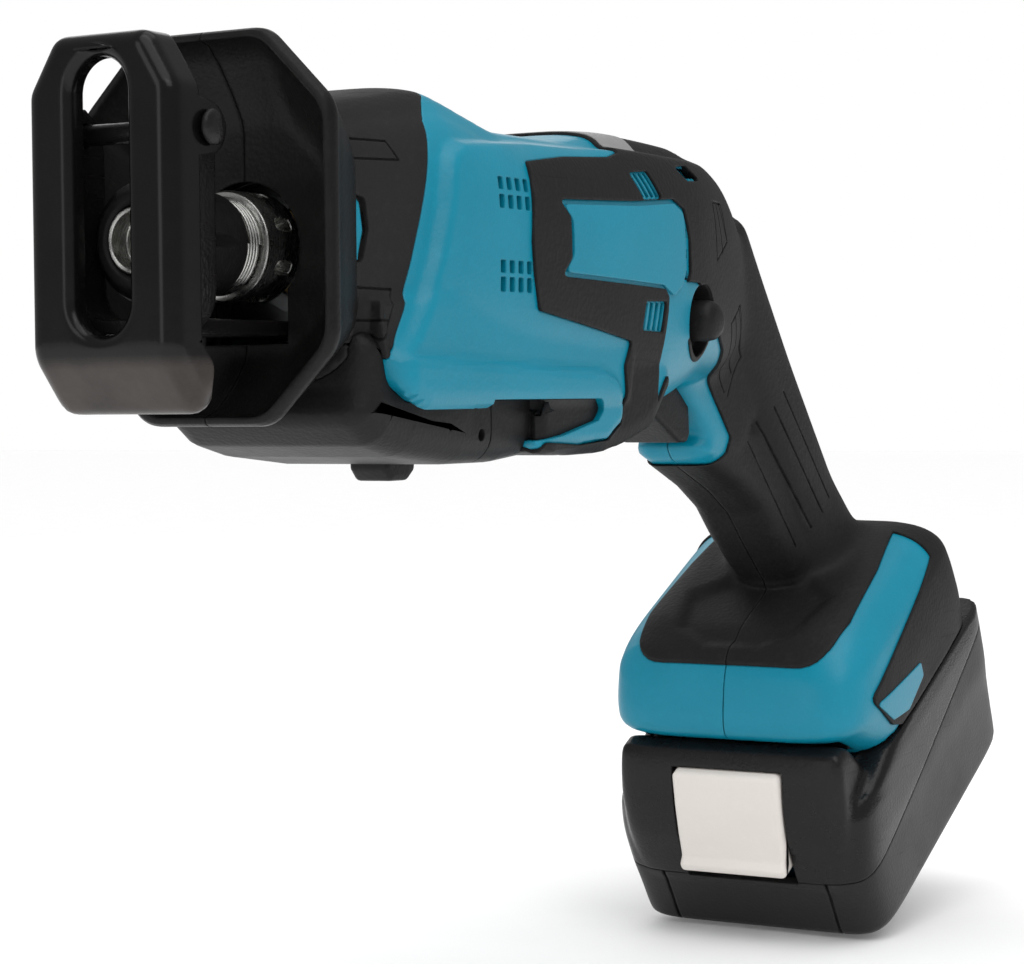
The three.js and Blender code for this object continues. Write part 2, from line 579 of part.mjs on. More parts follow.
// ---------------------------------------------------------------- controls
function lockOff() {
  const { x, z, r, half } = LOCK_OFF;
  const knobs = [1, -1].map((side) => rod('y', r - 0.6, side * half, side * (half + 1), x, z));
  return joined([rod('y', r, -half, half, x, z), ...knobs]).subtract(block(x - 9, x + 9, -4, 4, z - 9, z - 2));
}

function bottomCover() {
  const outline = [[-50, -24], [-55, -34], [-66, -40], [-84, -43], [-104, -43.8], [-128, -42], [-150, -38.5],
    [-164, -34], [-166, -26]];
  const pocket = block(-101.5, -86.5, -5.6, 5.6, -60, -20);
  return slab(outline, -21, 21, 3).subtract(bodyForm(-GAP)).subtract(pocket);
}

function shoeButton() {
  return joined([block(-100.8, -87.2, -5, 5, -41, -35.6), slab([[-99.5, -40], [-99.5, -45.5], [-97, -47.5],
    [-90.5, -47.5], [-88.5, -45], [-88.5, -40]], -4.6, 4.6, 0.8)]);
}

function sideBadge(side) {
  const [inner, outer] = side > 0 ? [37.4, 38.6] : [-38.6, -37.4];
  return tilted(block(-50, -30, inner, outer, 56, 66)).subtract(footForm(-0.1));
}

// ---------------------------------------------------------------- battery, drawn in its own frame
function packForm(inset) {
  const main = solid(tiltedLoft(PACK, inset, PACK_SQUARE));
  const head = solid(tiltedLoft(PACK_HEAD, inset, PACK_SQUARE));
  const rail = block(-100 + inset, -10, -RAIL_HALF + GAP + inset, RAIL_HALF - GAP - inset, 40, DECK - GAP - inset);
  const grooves = [1, -1].map((side) => block(-200, -19, side * 26.3, side * 40, SHOULDER - 0.4, SHOULDER + 3.4));
  return inset > 0 ? joined([main, head, rail]) : joined([main, head, rail]).subtract(joined(grooves));
}

function aboveSeam(shift) {
  const { front, rear } = PACK_SEAM;
  return slab([[40, front - (rear - front) * 0.3 + shift], [40, 120], [-140, 120],
    [-140, rear + (rear - front) * 0.3 + shift]], -60, 60);
}

const BUTTON = { half: 16, bottom: 24, top: 51, travel: 4 };

function releaseButtonPlate() {
  const { half, bottom, top } = BUTTON;
  const outline = [[7.4, bottom], [7.4, bottom + 2.2], [5.2, bottom + 3.6], [4, top - 14], [-1, top], [-6.9, top],
    [-6.9, bottom]];
  return slab(outline, -half, half);
}

function battery() {
  const hollow = packForm(2.2).subtract(block(-9.2, 30, -18.5, 18.5, 16.8, 60));
  const shell = packForm(0).subtract(hollow);
  const { half, top, travel } = BUTTON;
  const buttonWell = block(-7.2, 30, -half - GAP, half + GAP, BUTTON.bottom - travel - 1, top + GAP);
  const contacts = block(-120, -58, -14, 14, 50, 60);
  const above = aboveSeam(0.15);
  const upper = shell.intersect(above).subtract(buttonWell).subtract(contacts);
  const lower = shell.subtract(aboveSeam(-0.15)).subtract(buttonWell);
  return { battery_upper_case: upper, battery_lower_case: lower, battery_release_button: releaseButtonPlate() };
}

// ten cells in two rows of five, touching and welded to each other
function cellPack() {
  const cells = [];
  for (let i = 0; i < 5; i += 1) {
    for (const z of [12.4, 30.4]) cells.push(rod('y', 9.1, -31, 31, -90.8 + i * 18, z, 12));
  }
  return joined(cells);
}

function batteryBoard() {
  return joined([block(-96, -20, -20, 20, 42.5, 44)]);
}

function terminalBlock() {
  const blades = [-9, -3, 3, 9].map((y) => block(-90, -64, y - 0.5, y + 0.5, 51, 58));
  return joined([block(-92, -60, -12.4, 12.4, 57, 63.4), ...blades]);
}

function housingScrew([x, z]) {
  const head = rod('y', 3.2, -14, -12.3, x, z, 12).subtract(block(x - 0.5, x + 0.5, -20, -13.2, z - 2, z + 2));
  return rod('y', 2, -12.5, 8, x, z, 12).add(head);
}

// ---------------------------------------------------------------- assembly
const saw = new THREE.Group();
const TILTED_GROUP = new THREE.Group();
TILTED_GROUP.rotation.y = TILT;
TILTED_GROUP.position.set(BATTERY_AT.x, 0, BATTERY_AT.z);
saw.add(TILTED_GROUP);

function add(name, manifold, colour, roughness, metalness = 0, group = saw) {
  const material = new THREE.MeshStandardMaterial({ color: COLOURS[colour], roughness, metalness });
  const mesh = new THREE.Mesh(toGeometry(manifold), material);
  mesh.name = name;
  group.add(mesh);
}

const halves = housings();
add('housing_left', halves.housing_left, 'teal', 0.45);
add('housing_right', halves.housing_right, 'teal', 0.45);
add('grip_left', halves.grip_left, 'rubber', 0.75);
add('grip_right', halves.grip_right, 'rubber', 0.75);
add('bottom_cover', bottomCover(), 'black', 0.6);
add('front_boot', frontBoot(), 'rubber', 0.8);
const guards = guardHalves();
add('guard_left', guards.guard_left, 'black', 0.5);
add('guard_right', guards.guard_right, 'black', 0.5);
add('gear_housing', gearHousing(), 'cast', 0.5, 0.9);

add('shoe', shoe(), 'gloss', 0.2, 0.4);
add('shoe_carrier', shoeCarrier(), 'dark', 0.4, 0.9);
add('shoe_pivot_pin', shoePin(), 'dark', 0.35, 0.9);
add('shoe_release_button', shoeButton(), 'black', 0.5);

add('blade_holder', bladeHolder(), 'steel', 0.3, 1);
add('clamp_sleeve', clampSleeve(), 'black', 0.5);
add('clamp_spring', coil(-37.2, -33.9, 9.2, 0.45, 3), 'steel', 0.3, 1);
add('clamp_pin', rod('y', 1.5, 2.3, 7.8, -24, 0, 12), 'steel', 0.3, 1);
add('plunger', plunger(), 'steel', 0.25, 1);
add('plunger_bush', ring('x', PLUNGER.r + BUSH.wall, PLUNGER.r + GAP, BUSH.rear, BUSH.front), 'brass', 0.4, 1);

add('crank_gear', crankGear(), 'dark', 0.4, 1);
add('crank_pin', crankPin(), 'steel', 0.3, 1);
add('crank_bearing', ring('z', 10, 4 + GAP, 15.5, 21, CRANK.x, 0), 'steel', 0.3, 1);
add('armature_shaft', armatureShaft(), 'steel', 0.3, 1);
add('armature_core', armatureCore(), 'dark', 0.5, 0.8);
add('armature_windings', windings(), 'copper', 0.5, 0.8);
add('commutator', commutator(), 'copper', 0.35, 1);
add('motor_can', motorCan(), 'dark', 0.4, 0.9);
add('magnet_upper', motorMagnet(1), 'magnet', 0.7);
add('magnet_lower', motorMagnet(-1), 'magnet', 0.7);
add('motor_fan', motorFan(), 'black', 0.6);
add('front_bearing', ring('x', 8, MOTOR.shaftR + GAP, -131, -127, 0, MOTOR.z), 'steel', 0.3, 1);
add('rear_bearing', ring('x', 7, MOTOR.shaftR + GAP, -190.6, -186.4, 0, MOTOR.z), 'steel', 0.3, 1);
for (const [name, side] of [['left', 1], ['right', -1]]) {
  add(`brush_holder_${name}`, brushHolder(side), 'brass', 0.4, 1);
  add(`carbon_brush_${name}`, carbonBrush(side), 'magnet', 0.8);
  add(`badge_${name}`, sideBadge(side), 'teal', 0.4);
}
add('motor_end_bell', endBell(), 'black', 0.6);

add('switch_body', block(-230, -206, -8.5, 8.5, -18, 5), 'black', 0.6);
add('trigger', slab(TRIGGER_OUTLINE, -TRIGGER.half, TRIGGER.half, 1.6), 'black', 0.5);
add('lock_off_button', lockOff(), 'black', 0.5);
SCREWS.forEach((place, i) => add(`housing_screw_${i + 1}`, housingScrew(place), 'steel', 0.4, 1));

const pack = battery();
add('terminal_block', terminalBlock(), 'black', 0.6, 0, TILTED_GROUP);
add('battery_upper_case', pack.battery_upper_case, 'gloss', 0.3, 0, TILTED_GROUP);
add('battery_lower_case', pack.battery_lower_case, 'black', 0.45, 0, TILTED_GROUP);
add('battery_release_button', pack.battery_release_button, 'cream', 0.4, 0, TILTED_GROUP);
add('battery_cells', cellPack(), 'cell', 0.4, 0, TILTED_GROUP);
add('battery_board', batteryBoard(), 'dark', 0.6, 0, TILTED_GROUP);

const box = new THREE.Box3().setFromObject(saw, true);
const middle = box.getCenter(new THREE.Vector3());
saw.position.set(-middle.x, -middle.y, -box.min.z);

export default saw;
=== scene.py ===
"""Looks of the cordless reciprocating saw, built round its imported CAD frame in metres.

Shapes are drawn in millimetres about the stroke axis: X = 0 is the shoe's front face, Z = 0 the plunger's axis,
+X forward and +Y the tool's left. make() moves them into the row frame.
"""
import json
import math

import bmesh
import bpy
import numpy as np
from mathutils import Matrix, Vector


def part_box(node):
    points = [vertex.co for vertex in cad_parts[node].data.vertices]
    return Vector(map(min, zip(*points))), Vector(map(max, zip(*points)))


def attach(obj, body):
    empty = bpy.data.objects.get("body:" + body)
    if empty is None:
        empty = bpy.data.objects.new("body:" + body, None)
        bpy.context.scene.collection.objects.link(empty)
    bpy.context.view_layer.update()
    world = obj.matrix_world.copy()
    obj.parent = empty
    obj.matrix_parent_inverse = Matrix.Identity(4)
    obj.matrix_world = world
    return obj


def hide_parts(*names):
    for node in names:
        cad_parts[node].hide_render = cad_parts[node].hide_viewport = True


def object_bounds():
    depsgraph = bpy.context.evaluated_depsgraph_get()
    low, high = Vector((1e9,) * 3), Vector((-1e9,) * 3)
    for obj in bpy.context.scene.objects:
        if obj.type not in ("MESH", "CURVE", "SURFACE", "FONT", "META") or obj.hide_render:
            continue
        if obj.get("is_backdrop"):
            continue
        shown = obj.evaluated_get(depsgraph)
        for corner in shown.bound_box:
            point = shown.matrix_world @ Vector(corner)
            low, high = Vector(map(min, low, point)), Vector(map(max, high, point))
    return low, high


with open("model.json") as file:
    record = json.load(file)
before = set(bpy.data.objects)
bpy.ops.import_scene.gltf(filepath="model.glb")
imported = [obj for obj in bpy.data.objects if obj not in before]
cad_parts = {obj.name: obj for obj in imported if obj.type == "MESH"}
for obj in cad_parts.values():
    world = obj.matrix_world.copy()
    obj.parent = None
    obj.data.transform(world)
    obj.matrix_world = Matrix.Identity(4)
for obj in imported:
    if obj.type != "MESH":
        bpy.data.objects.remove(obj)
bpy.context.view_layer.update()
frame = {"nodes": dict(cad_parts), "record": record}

NODES = frame["nodes"]
MM = 0.001
SEAM = 0.15  # half of the gap between left and right halves
TILT = math.radians(27)  # the battery's long axis rises to the rear
BATTERY_AT = (-280.0, -177.0)  # front lower edge of the battery, X and Z
PIVOT = (-11.5, 20.0)
LOCK_OFF = (-194.0, -12.0)
WIDE = 60  # reach of a cutter past the tool's side


def stroke_origin():
    """The point X = 0, Z = 0 on the stroke axis, in the row frame."""
    low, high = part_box("plunger_bush")
    return Vector((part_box("shoe")[1].x, 0, (low.z + high.z) / 2))


ORIGIN = stroke_origin()


# ------------------------------------------------------------ meshes in code
def build(verts, faces, name="mesh"):
    """A mesh with its doubled points merged and its faces turned outwards."""
    mesh = bpy.data.meshes.new(name)
    mesh.from_pydata([tuple(v) for v in verts], [], [tuple(int(i) for i in f) for f in faces])
    mesh.validate()
    bm = bmesh.new()
    bm.from_mesh(mesh)
    bmesh.ops.remove_doubles(bm, verts=bm.verts, dist=1e-5)
    bmesh.ops.recalc_face_normals(bm, faces=bm.faces)
    bm.to_mesh(mesh)
    bm.free()
    return mesh


def wall_faces(count, n, closed=False):
    """Quads between rings of n points, and from the last ring back to the first when closed."""
    faces = []
    for k in range(count if closed else count - 1):
        here, after = k * n, (k + 1) % count * n
        for i in range(n):
            j = (i + 1) % n
            faces.append((here + i, here + j, after + j, after + i))
    return faces


def loft(rings):
    """A closed body through rings of the same number of points, with flat ends."""
    rings = [np.asarray(r, float) for r in rings]
    n = len(rings[0])
    ends = [list(range(n))[::-1], [(len(rings) - 1) * n + i for i in range(n)]]
    return build(np.vstack(rings), wall_faces(len(rings), n) + ends)


def rounded(points, radius, steps=5):
    """An outline with its corners rounded. radius is one number, or one for each corner."""
    pts = [np.array(p, float) for p in points]
    radii = radius if isinstance(radius, (list, tuple)) else [radius] * len(pts)
    out = []
    for i, p in enumerate(pts):
        a, b = pts[i - 1] - p, pts[(i + 1) % len(pts)] - p
        la, lb = np.linalg.norm(a), np.linalg.norm(b)
        a, b = a / la, b / lb
        angle = math.acos(max(-1.0, min(1.0, float(a @ b))))
        if radii[i] <= 0 or angle > math.pi - 0.05:
            out.append(p)
            continue
        cut = min(radii[i] / math.tan(angle / 2), 0.48 * la, 0.48 * lb)
        start, end = p + a * cut, p + b * cut
        for t in np.linspace(0, 1, steps + 1):
            out.append((1 - t) ** 2 * start + 2 * t * (1 - t) * p + t ** 2 * end)
    return [tuple(q) for q in out]


def unit(vectors):
    return vectors / np.maximum(np.linalg.norm(vectors, axis=-1, keepdims=True), 1e-9)


def area(pts):
    """Positive for an outline that runs anticlockwise."""
    return 0.5 * np.sum(pts[:, 0] * np.roll(pts[:, 1], -1) - np.roll(pts[:, 0], -1) * pts[:, 1])


def mitres(pts, least):
    """How far each corner moves when an anticlockwise outline grows by 1."""
    edge = unit(np.roll(pts, -1, 0) - pts)
    out = np.stack([edge[:, 1], -edge[:, 0]], 1)
    mitre = unit(out + np.roll(out, 1, 0))
    return mitre / np.maximum(np.sum(mitre * out, 1, keepdims=True), least)


def prism(points, y0, y1, bevel=0.0, steps=3):
    """An outline in X and Z, extruded across Y, with rounded rims."""
    pts = np.array(points, float)
    if area(pts) < 0:
        pts = pts[::-1]
    mitre = mitres(pts, 0.5)
    rings = []
    if bevel > 0:
        for side, y in ((0, y0), (1, y1)):
            for k in range(steps + 1):
                t = (k / steps if side == 0 else 1 - k / steps) * math.pi / 2
                inset, depth = bevel * (1 - math.sin(t)), bevel * (1 - math.cos(t))
                q = pts - mitre * inset
                rings.append([(x, y + depth if side == 0 else y - depth, z) for x, z in q])
    else:
        rings = [[(x, y, z) for x, z in pts] for y in (y0, y1)]
    return loft(rings)


def spin(profile, axis_point=(0.0, 0.0), along="x", sides=64):
    """A closed body of revolution. profile is (distance along the axis, radius), from one end to the other."""
    rings = []
    for d, r in profile:
        ring = []
        for i in range(sides):
            a = 2 * math.pi * i / sides
            u, v = axis_point[0] + r * math.cos(a), axis_point[1] + r * math.sin(a)
            ring.append({"x": (d, u, v), "y": (u, d, v), "z": (u, v, d)}[along])
        rings.append(ring)
    return loft(rings)


def box(x0, x1, y0, y1, z0, z1):
    return prism([(x0, z0), (x1, z0), (x1, z1), (x0, z1)], y0, y1)


def obj_of(mesh, name="tmp"):
    o = bpy.data.objects.new(name, mesh)
    bpy.context.scene.collection.objects.link(o)
    return o


def evaluated(o):
    """The mesh of an object with its modifiers applied; the object is removed."""
    dg = bpy.context.evaluated_depsgraph_get()
    mesh = bpy.data.meshes.new_from_object(o.evaluated_get(dg))
    bpy.data.objects.remove(o)
    return mesh


def csg(base, *steps):
    """Boolean steps on a mesh: ("-", mesh), ("+", mesh) or ("&", mesh). The exact solver follows the fast one."""
    kinds = {"-": "DIFFERENCE", "+": "UNION", "&": "INTERSECT"}
    for sign, cutter in steps:
        b = obj_of(cutter)
        for solver in ("MANIFOLD", "EXACT"):
            a = obj_of(base)
            m = a.modifiers.new("cut", "BOOLEAN")
            m.operation, m.solver, m.object = kinds[sign], solver, b
            made = evaluated(a)
            if made.polygons:
                break
        bpy.data.objects.remove(b)
        base = made
    return base


def joined(*meshes):
    """One mesh from several that overlap."""
    return csg(meshes[0], *[("+", m) for m in meshes[1:]])


def coords(mesh):
    co = np.zeros(len(mesh.vertices) * 3, np.float32)
    mesh.vertices.foreach_get("co", co)
    return co.reshape(-1, 3).astype(float)


def normals(mesh):
    no = np.zeros(len(mesh.vertices) * 3, np.float32)
    mesh.vertex_normals.foreach_get("vector", no)
    return no.reshape(-1, 3).astype(float)


def put(mesh, co):
    mesh.vertices.foreach_set("co", co.astype(np.float32).ravel())
    mesh.update()
    return mesh


def remeshed(mesh, voxel):
    o = obj_of(mesh)
    m = o.modifiers.new("remesh", "REMESH")
    m.mode, m.voxel_size = "VOXEL", voxel
    return evaluated(o)


def relaxed(mesh, rounds, weight=None, pulls=(0.5, -0.52)):
    """Vertices drawn towards their neighbours and back. weight(co) is from 0 to 1 for each vertex."""
    co = coords(mesh)
    edges = np.zeros(len(mesh.edges) * 2, np.int32)
    mesh.edges.foreach_get("vertices", edges)
    a, b = edges.reshape(-1, 2).T
    n = len(co)
    degree = np.bincount(a, minlength=n) + np.bincount(b, minlength=n)
    w = np.ones(n) if weight is None else weight(co)
    for _ in range(rounds):
        for pull in pulls:
            mean = np.stack([np.bincount(a, co[b, k], n) + np.bincount(b, co[a, k], n) for k in range(3)], 1)
            co = co + (w * pull)[:, None] * (mean / degree[:, None] - co)
    return put(mesh, co)


def smooth(low, high, x):
    t = np.clip((x - low) / (high - low), 0, 1)
    return t * t * (3 - 2 * t)


def inside(points, outline, soft):
    """1 inside an outline and 0 outside, with a soft edge of this half width."""
    pts = np.array(outline, float)
    p = np.asarray(points, float)
    best = np.full(len(p), 1e9)
    winding = np.zeros(len(p), bool)
    for i in range(len(pts)):
        a, b = pts[i - 1], pts[i]
        ab, ap = b - a, p - a
        t = np.clip((ap @ ab) / max(ab @ ab, 1e-9), 0, 1)
        best = np.minimum(best, np.linalg.norm(ap - t[:, None] * ab, axis=1))
        cross = ((a[1] > p[:, 1]) != (b[1] > p[:, 1])) & (
            p[:, 0] < (b[0] - a[0]) * (p[:, 1] - a[1]) / (b[1] - a[1] + 1e-12) + a[0])
        winding ^= cross
    return smooth(-soft, soft, np.where(winding, best, -best))


def half(mesh, side):
    """The left or right half of a mesh, short of the seam."""
    reach = (SEAM, 300) if side > 0 else (-300, -SEAM)
    return csg(mesh, ("&", box(-600, 200, *reach, -400, 300)))


def mirrored(mesh):
    m = mesh.copy()
    co = coords(m)
    co[:, 1] *= -1
    put(m, co)
    m.flip_normals()
    return m


def in_battery(mesh):
    """Moves a mesh drawn in the battery's own frame into the tool's frame."""
    co = coords(mesh)
    c, s = math.cos(TILT), math.sin(TILT)
    x = BATTERY_AT[0] + co[:, 0] * c + co[:, 2] * s
    z = BATTERY_AT[1] - co[:, 0] * s + co[:, 2] * c
    return put(mesh, np.stack([x, co[:, 1], z], 1))


def battery_xz(co):
    """Points of the tool's frame as X and Z of the battery's own frame."""
    c, s = math.cos(TILT), math.sin(TILT)
    dx, dz = co[:, 0] - BATTERY_AT[0], co[:, 2] - BATTERY_AT[1]
    return np.stack([dx * c - dz * s, dx * s + dz * c], 1)


def make(mesh, name, body, material, node="", sharp=35):
    """The finished piece: into metres and the row frame, shaded, and riding on its body."""
    co = coords(mesh) * MM + np.array(ORIGIN)
    put(mesh, co)
    mesh.name = name
    for p in mesh.polygons:
        p.use_smooth = True
    o = obj_of(mesh, name)
    mesh.materials.clear()
    mesh.materials.append(material)
    mesh.set_sharp_from_angle(angle=math.radians(sharp))
    if node:
        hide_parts(node)
    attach(o, body)


def make_pair(left, right, name, material, node=""):
    """Two pieces on the body, one for each side of the tool."""
    for mesh, tag in ((left, "left"), (right, "right")):
        make(mesh, f"{name}_{tag}", "body", material, node and f"{node}_{tag}")


# ------------------------------------------------------------ procedural materials
class Nodes:
    """Short names for a material's nodes."""

    def __init__(self, name):
        self.m = bpy.data.materials.new(name)
        self.m.use_nodes = True
        self.t = self.m.node_tree
        self.t.nodes.clear()
        self.out = self.t.nodes.new("ShaderNodeOutputMaterial")
        self.bsdf = self.t.nodes.new("ShaderNodeBsdfPrincipled")
        self.link(self.bsdf.outputs[0], self.out.inputs["Surface"])
        self.coord = self.t.nodes.new("ShaderNodeTexCoord").outputs["Object"]

    def link(self, a, b):
        self.t.links.new(a, b)

    def feed(self, socket, value):
        """Links a socket to a node's output, or sets its value."""
        if hasattr(value, "is_output"):
            self.link(value, socket)
        else:
            socket.default_value = value

    def node(self, kind, **values):
        """A node with its inputs set by name, and its own settings by names that start with _."""
        n = self.t.nodes.new(kind)
        for k, v in values.items():
            if k.startswith("_"):
                setattr(n, k[1:], v)
            else:
                self.feed(n.inputs[k], v)
        return n

    def noise(self, scale, detail=3.0, rough=0.5, vector=None):
        values = {"Scale": scale, "Detail": detail, "Roughness": rough, "Vector": vector or self.coord}
        return self.node("ShaderNodeTexNoise", **values).outputs["Fac"]

    def voronoi(self, scale):
        return self.node("ShaderNodeTexVoronoi", Scale=scale, Vector=self.coord).outputs["Distance"]

    def stretched(self, scale):
        """The object's coordinates, scaled along each axis."""
        return self.node("ShaderNodeMapping", Vector=self.coord, Scale=scale).outputs[0]

    def math(self, op, a, b=0.0, clamp=False):
        n = self.node("ShaderNodeMath", _operation=op, _use_clamp=clamp)
        for i, v in enumerate((a, b)):
            self.feed(n.inputs[i], v)
        return n.outputs[0]

    def span(self, fac, low, high, a=0.0, b=1.0):
        values = {"Value": fac, "From Min": low, "From Max": high, "To Min": a, "To Max": b}
        return self.node("ShaderNodeMapRange", **values).outputs[0]

    def mix(self, fac, a, b):
        n = self.node("ShaderNodeMix", _data_type="RGBA", Factor=fac)
        for i, v in ((6, a), (7, b)):
            self.feed(n.inputs[i], v if hasattr(v, "is_output") else (*v, 1))
        return n.outputs[2]

    def bump(self, height, distance, strength, normal):
        values = {"Distance": distance, "Strength": strength, "Height": height, "Normal": normal}
        return self.node("ShaderNodeBump", **values).outputs[0]

    def edge_round(self, radius):
        return self.node("ShaderNodeBevel", _samples=4, Radius=radius).outputs[0]


def edge_mask(n, radius):
    """Where the rounded normal leaves the true one: 1 on an edge."""
    geo = n.node("ShaderNodeNewGeometry")
    dot = n.node("ShaderNodeVectorMath", _operation="DOT_PRODUCT")
    n.link(n.edge_round(radius), dot.inputs[0])
    n.link(geo.outputs["Normal"], dot.inputs[1])
    return n.span(dot.outputs["Value"], 0.985, 0.86, 0.0, 1.0)


def moulded(name, colour, roughness, grain=900, depth=0.00006, vary=0.10, radius=0.0005, wear=0.25,
            specular=0.5, worn=None, speckle=0.35):
    """A moulded plastic or rubber: eroded texture, faint flow marks, small scuffs and paler worn edges."""
    n = Nodes(name)
    base = np.array(colour)
    light, dark = tuple(np.clip(base * (1 + vary), 0, 1)), tuple(base * (1 - vary))
    cloud = n.noise(26, 4, 0.6)
    speck = n.noise(grain * 0.45, 2, 0.6)
    col = n.mix(n.span(cloud, 0.3, 0.7), dark, light)
    col = n.mix(n.span(speck, 0.55, 0.8, 0, speckle), col, tuple(np.clip(base * 1.5 + 0.004, 0, 1)))
    edge = edge_mask(n, radius * 1.4)
    patch = n.span(n.noise(160, 4, 0.65), 0.42, 0.7)
    rub = n.math("MULTIPLY", n.math("MULTIPLY", edge, patch), wear)
    col = n.mix(rub, col, worn or tuple(np.clip(base * 1.9 + 0.03, 0, 1)))
    n.link(col, n.bsdf.inputs["Base Color"])
    scuff = n.span(n.noise(1.0, 3, 0.7, n.stretched((40, 260, 900))), 0.62, 0.75, 0, 0.10)
    rough = n.math("ADD", n.span(cloud, 0.3, 0.7, roughness - 0.06, roughness + 0.06), scuff)
    rough = n.math("SUBTRACT", rough, n.math("MULTIPLY", rub, 0.12), True)
    n.link(rough, n.bsdf.inputs["Roughness"])
    fine = n.math("ADD", n.voronoi(grain), n.math("MULTIPLY", n.noise(grain * 1.7, 2, 0.5), 0.6))
    normal = n.edge_round(radius)
    wave = n.bump(n.noise(34, 2, 0.5), 0.0010, 0.10, normal)
    n.link(n.bump(fine, depth, 1.0, wave), n.bsdf.inputs["Normal"])
    n.bsdf.inputs["Specular IOR Level"].default_value = specular
    return n.m


def metal(name, colour, roughness, axis=(1, 1, 1), brushed=300, depth=0.00002, stain=0.18, radius=0.0003):
    """Machined or pressed metal: tool marks along one axis, stains, and brighter edges."""
    n = Nodes(name)
    base = np.array(colour)
    lines = n.noise(4.0, 4, 0.65, n.stretched(tuple(brushed * a for a in axis)))
    cloud = n.noise(60, 4, 0.6)
    col = n.mix(n.span(cloud, 0.35, 0.7), tuple(base * (1 - stain)), tuple(np.clip(base * 1.08, 0, 1)))
    col = n.mix(n.span(lines, 0.45, 0.75, 0, 0.2), col, tuple(base * 0.85))
    edge = edge_mask(n, radius * 1.5)
    col = n.mix(n.math("MULTIPLY", edge, 0.5), col, tuple(np.clip(base * 1.6 + 0.05, 0, 1)))
    n.link(col, n.bsdf.inputs["Base Color"])
    n.bsdf.inputs["Metallic"].default_value = 1.0
    n.link(n.span(lines, 0.2, 0.8, roughness - 0.08, roughness + 0.14), n.bsdf.inputs["Roughness"])
    n.link(n.bump(lines, depth, 1.0, n.edge_round(radius)), n.bsdf.inputs["Normal"])
    return n.m


def painted(name, colour, roughness):
    """Gloss paint over pressed steel: orange peel, fine scratches, grey steel where the edges are worn, and painted
    light: the bent part below the fold is painted a lighter grey-brown in patches, as where light falls on it.
    """
    n = Nodes(name)
    base = np.array(colour)
    peel = n.noise(420, 2, 0.45)
    cloud = n.noise(30, 4, 0.6)
    split = n.node("ShaderNodeSeparateXYZ", Vector=n.coord)
    # painted light: below the shoe's fold the colour turns a lighter grey-brown in noisy patches, as where light falls
    # on the bent part; the same mask also raises the roughness
    low = n.span(split.outputs["Z"], ORIGIN.z - 0.0215, ORIGIN.z - 0.024, 0, 1)
    col = n.mix(n.span(cloud, 0.3, 0.7), tuple(base * 0.8), tuple(base * 1.3))
    bend_painted_light = n.math("MULTIPLY", low, n.span(n.noise(55, 5, 0.7), 0.30, 0.75, 0.35, 1.0))
    col = n.mix(n.math("MULTIPLY", bend_painted_light, 0.6), col, (0.085, 0.070, 0.062))
    edge = edge_mask(n, 0.0006)
    chip = n.math("MULTIPLY", edge, n.span(n.noise(240, 4, 0.7), 0.6, 0.74))
    col = n.mix(n.math("MULTIPLY", chip, 0.5), col, (0.20, 0.20, 0.20))
    n.link(col, n.bsdf.inputs["Base Color"])
    fine = n.math("ADD", n.span(cloud, 0.3, 0.7, roughness - 0.04, roughness + 0.05), n.math("MULTIPLY", bend_painted_light, 0.25))
    n.link(n.math("ADD", fine, n.math("MULTIPLY", chip, 0.2), True), n.bsdf.inputs["Roughness"])
    marks = n.span(n.noise(1.0, 2, 0.6, n.stretched((500, 900, 40))), 0.66, 0.72)
    height = n.math("SUBTRACT", peel, n.math("MULTIPLY", marks, 0.3))
    n.link(n.bump(height, 0.00004, 0.6, n.edge_round(0.0006)), n.bsdf.inputs["Normal"])
    n.bsdf.inputs["Specular IOR Level"].default_value = 0.2
    n.bsdf.inputs["Coat Weight"].default_value = 0.10
    n.bsdf.inputs["Coat Roughness"].default_value = 0.06
    return n.m


TEAL = moulded("teal_plastic", (0.0, 0.185, 0.275), 0.36, grain=1100, depth=0.00003, vary=0.06, wear=0.35,
               worn=(0.03, 0.33, 0.45), speckle=0.12, radius=0.0006, specular=0.3)
BLACK = moulded("black_plastic", (0.0098, 0.0092, 0.0094), 0.46, grain=1000, depth=0.00005, wear=0.3, specular=0.16)
GRIP = moulded("rubber_grip", (0.0112, 0.0104, 0.0106), 0.56, grain=800, depth=0.00008, wear=0.45,
               radius=0.0008, specular=0.15)
BOOT = moulded("rubber_boot", (0.0140, 0.0130, 0.0130), 0.60, grain=900, depth=0.00006, wear=0.3,
               radius=0.0006, specular=0.16)
GUARD = moulded("guard_plastic", (0.0060, 0.0056, 0.0056), 0.36, grain=1100, depth=0.00004, wear=0.35,
                radius=0.0010, specular=0.16)
GLOSS = moulded("gloss_plastic", (0.0070, 0.0064, 0.0066), 0.27, grain=1200, depth=0.000035, wear=0.25,
                radius=0.0009, specular=0.26)
CASE = moulded("battery_plastic", (0.0115, 0.0108, 0.0112), 0.42, grain=1200, depth=0.00004, wear=0.3,
               radius=0.0009, specular=0.26)
CREAM = moulded("cream_plastic", (0.66, 0.62, 0.58), 0.42, grain=900, depth=0.00002, vary=0.015, wear=0.1, speckle=0.05,
                worn=(0.8, 0.79, 0.74), radius=0.0008)
GREY = moulded("grey_plastic", (0.22, 0.22, 0.22), 0.5, grain=900, depth=0.00005, vary=0.06)
PAINT = painted("painted_steel", (0.0030, 0.0027, 0.0027), 0.18)
STEEL = metal("machined_steel", (0.50, 0.50, 0.48), 0.24, axis=(3, 0.3, 0.3), stain=0.10)
DARK = metal("dark_steel", (0.075, 0.075, 0.078), 0.38)
CAST = metal("cast_aluminium", (0.42, 0.43, 0.44), 0.46, brushed=120, depth=0.00006)
BRASS = metal("brass", (0.60, 0.44, 0.20), 0.3, axis=(3, 0.3, 0.3))
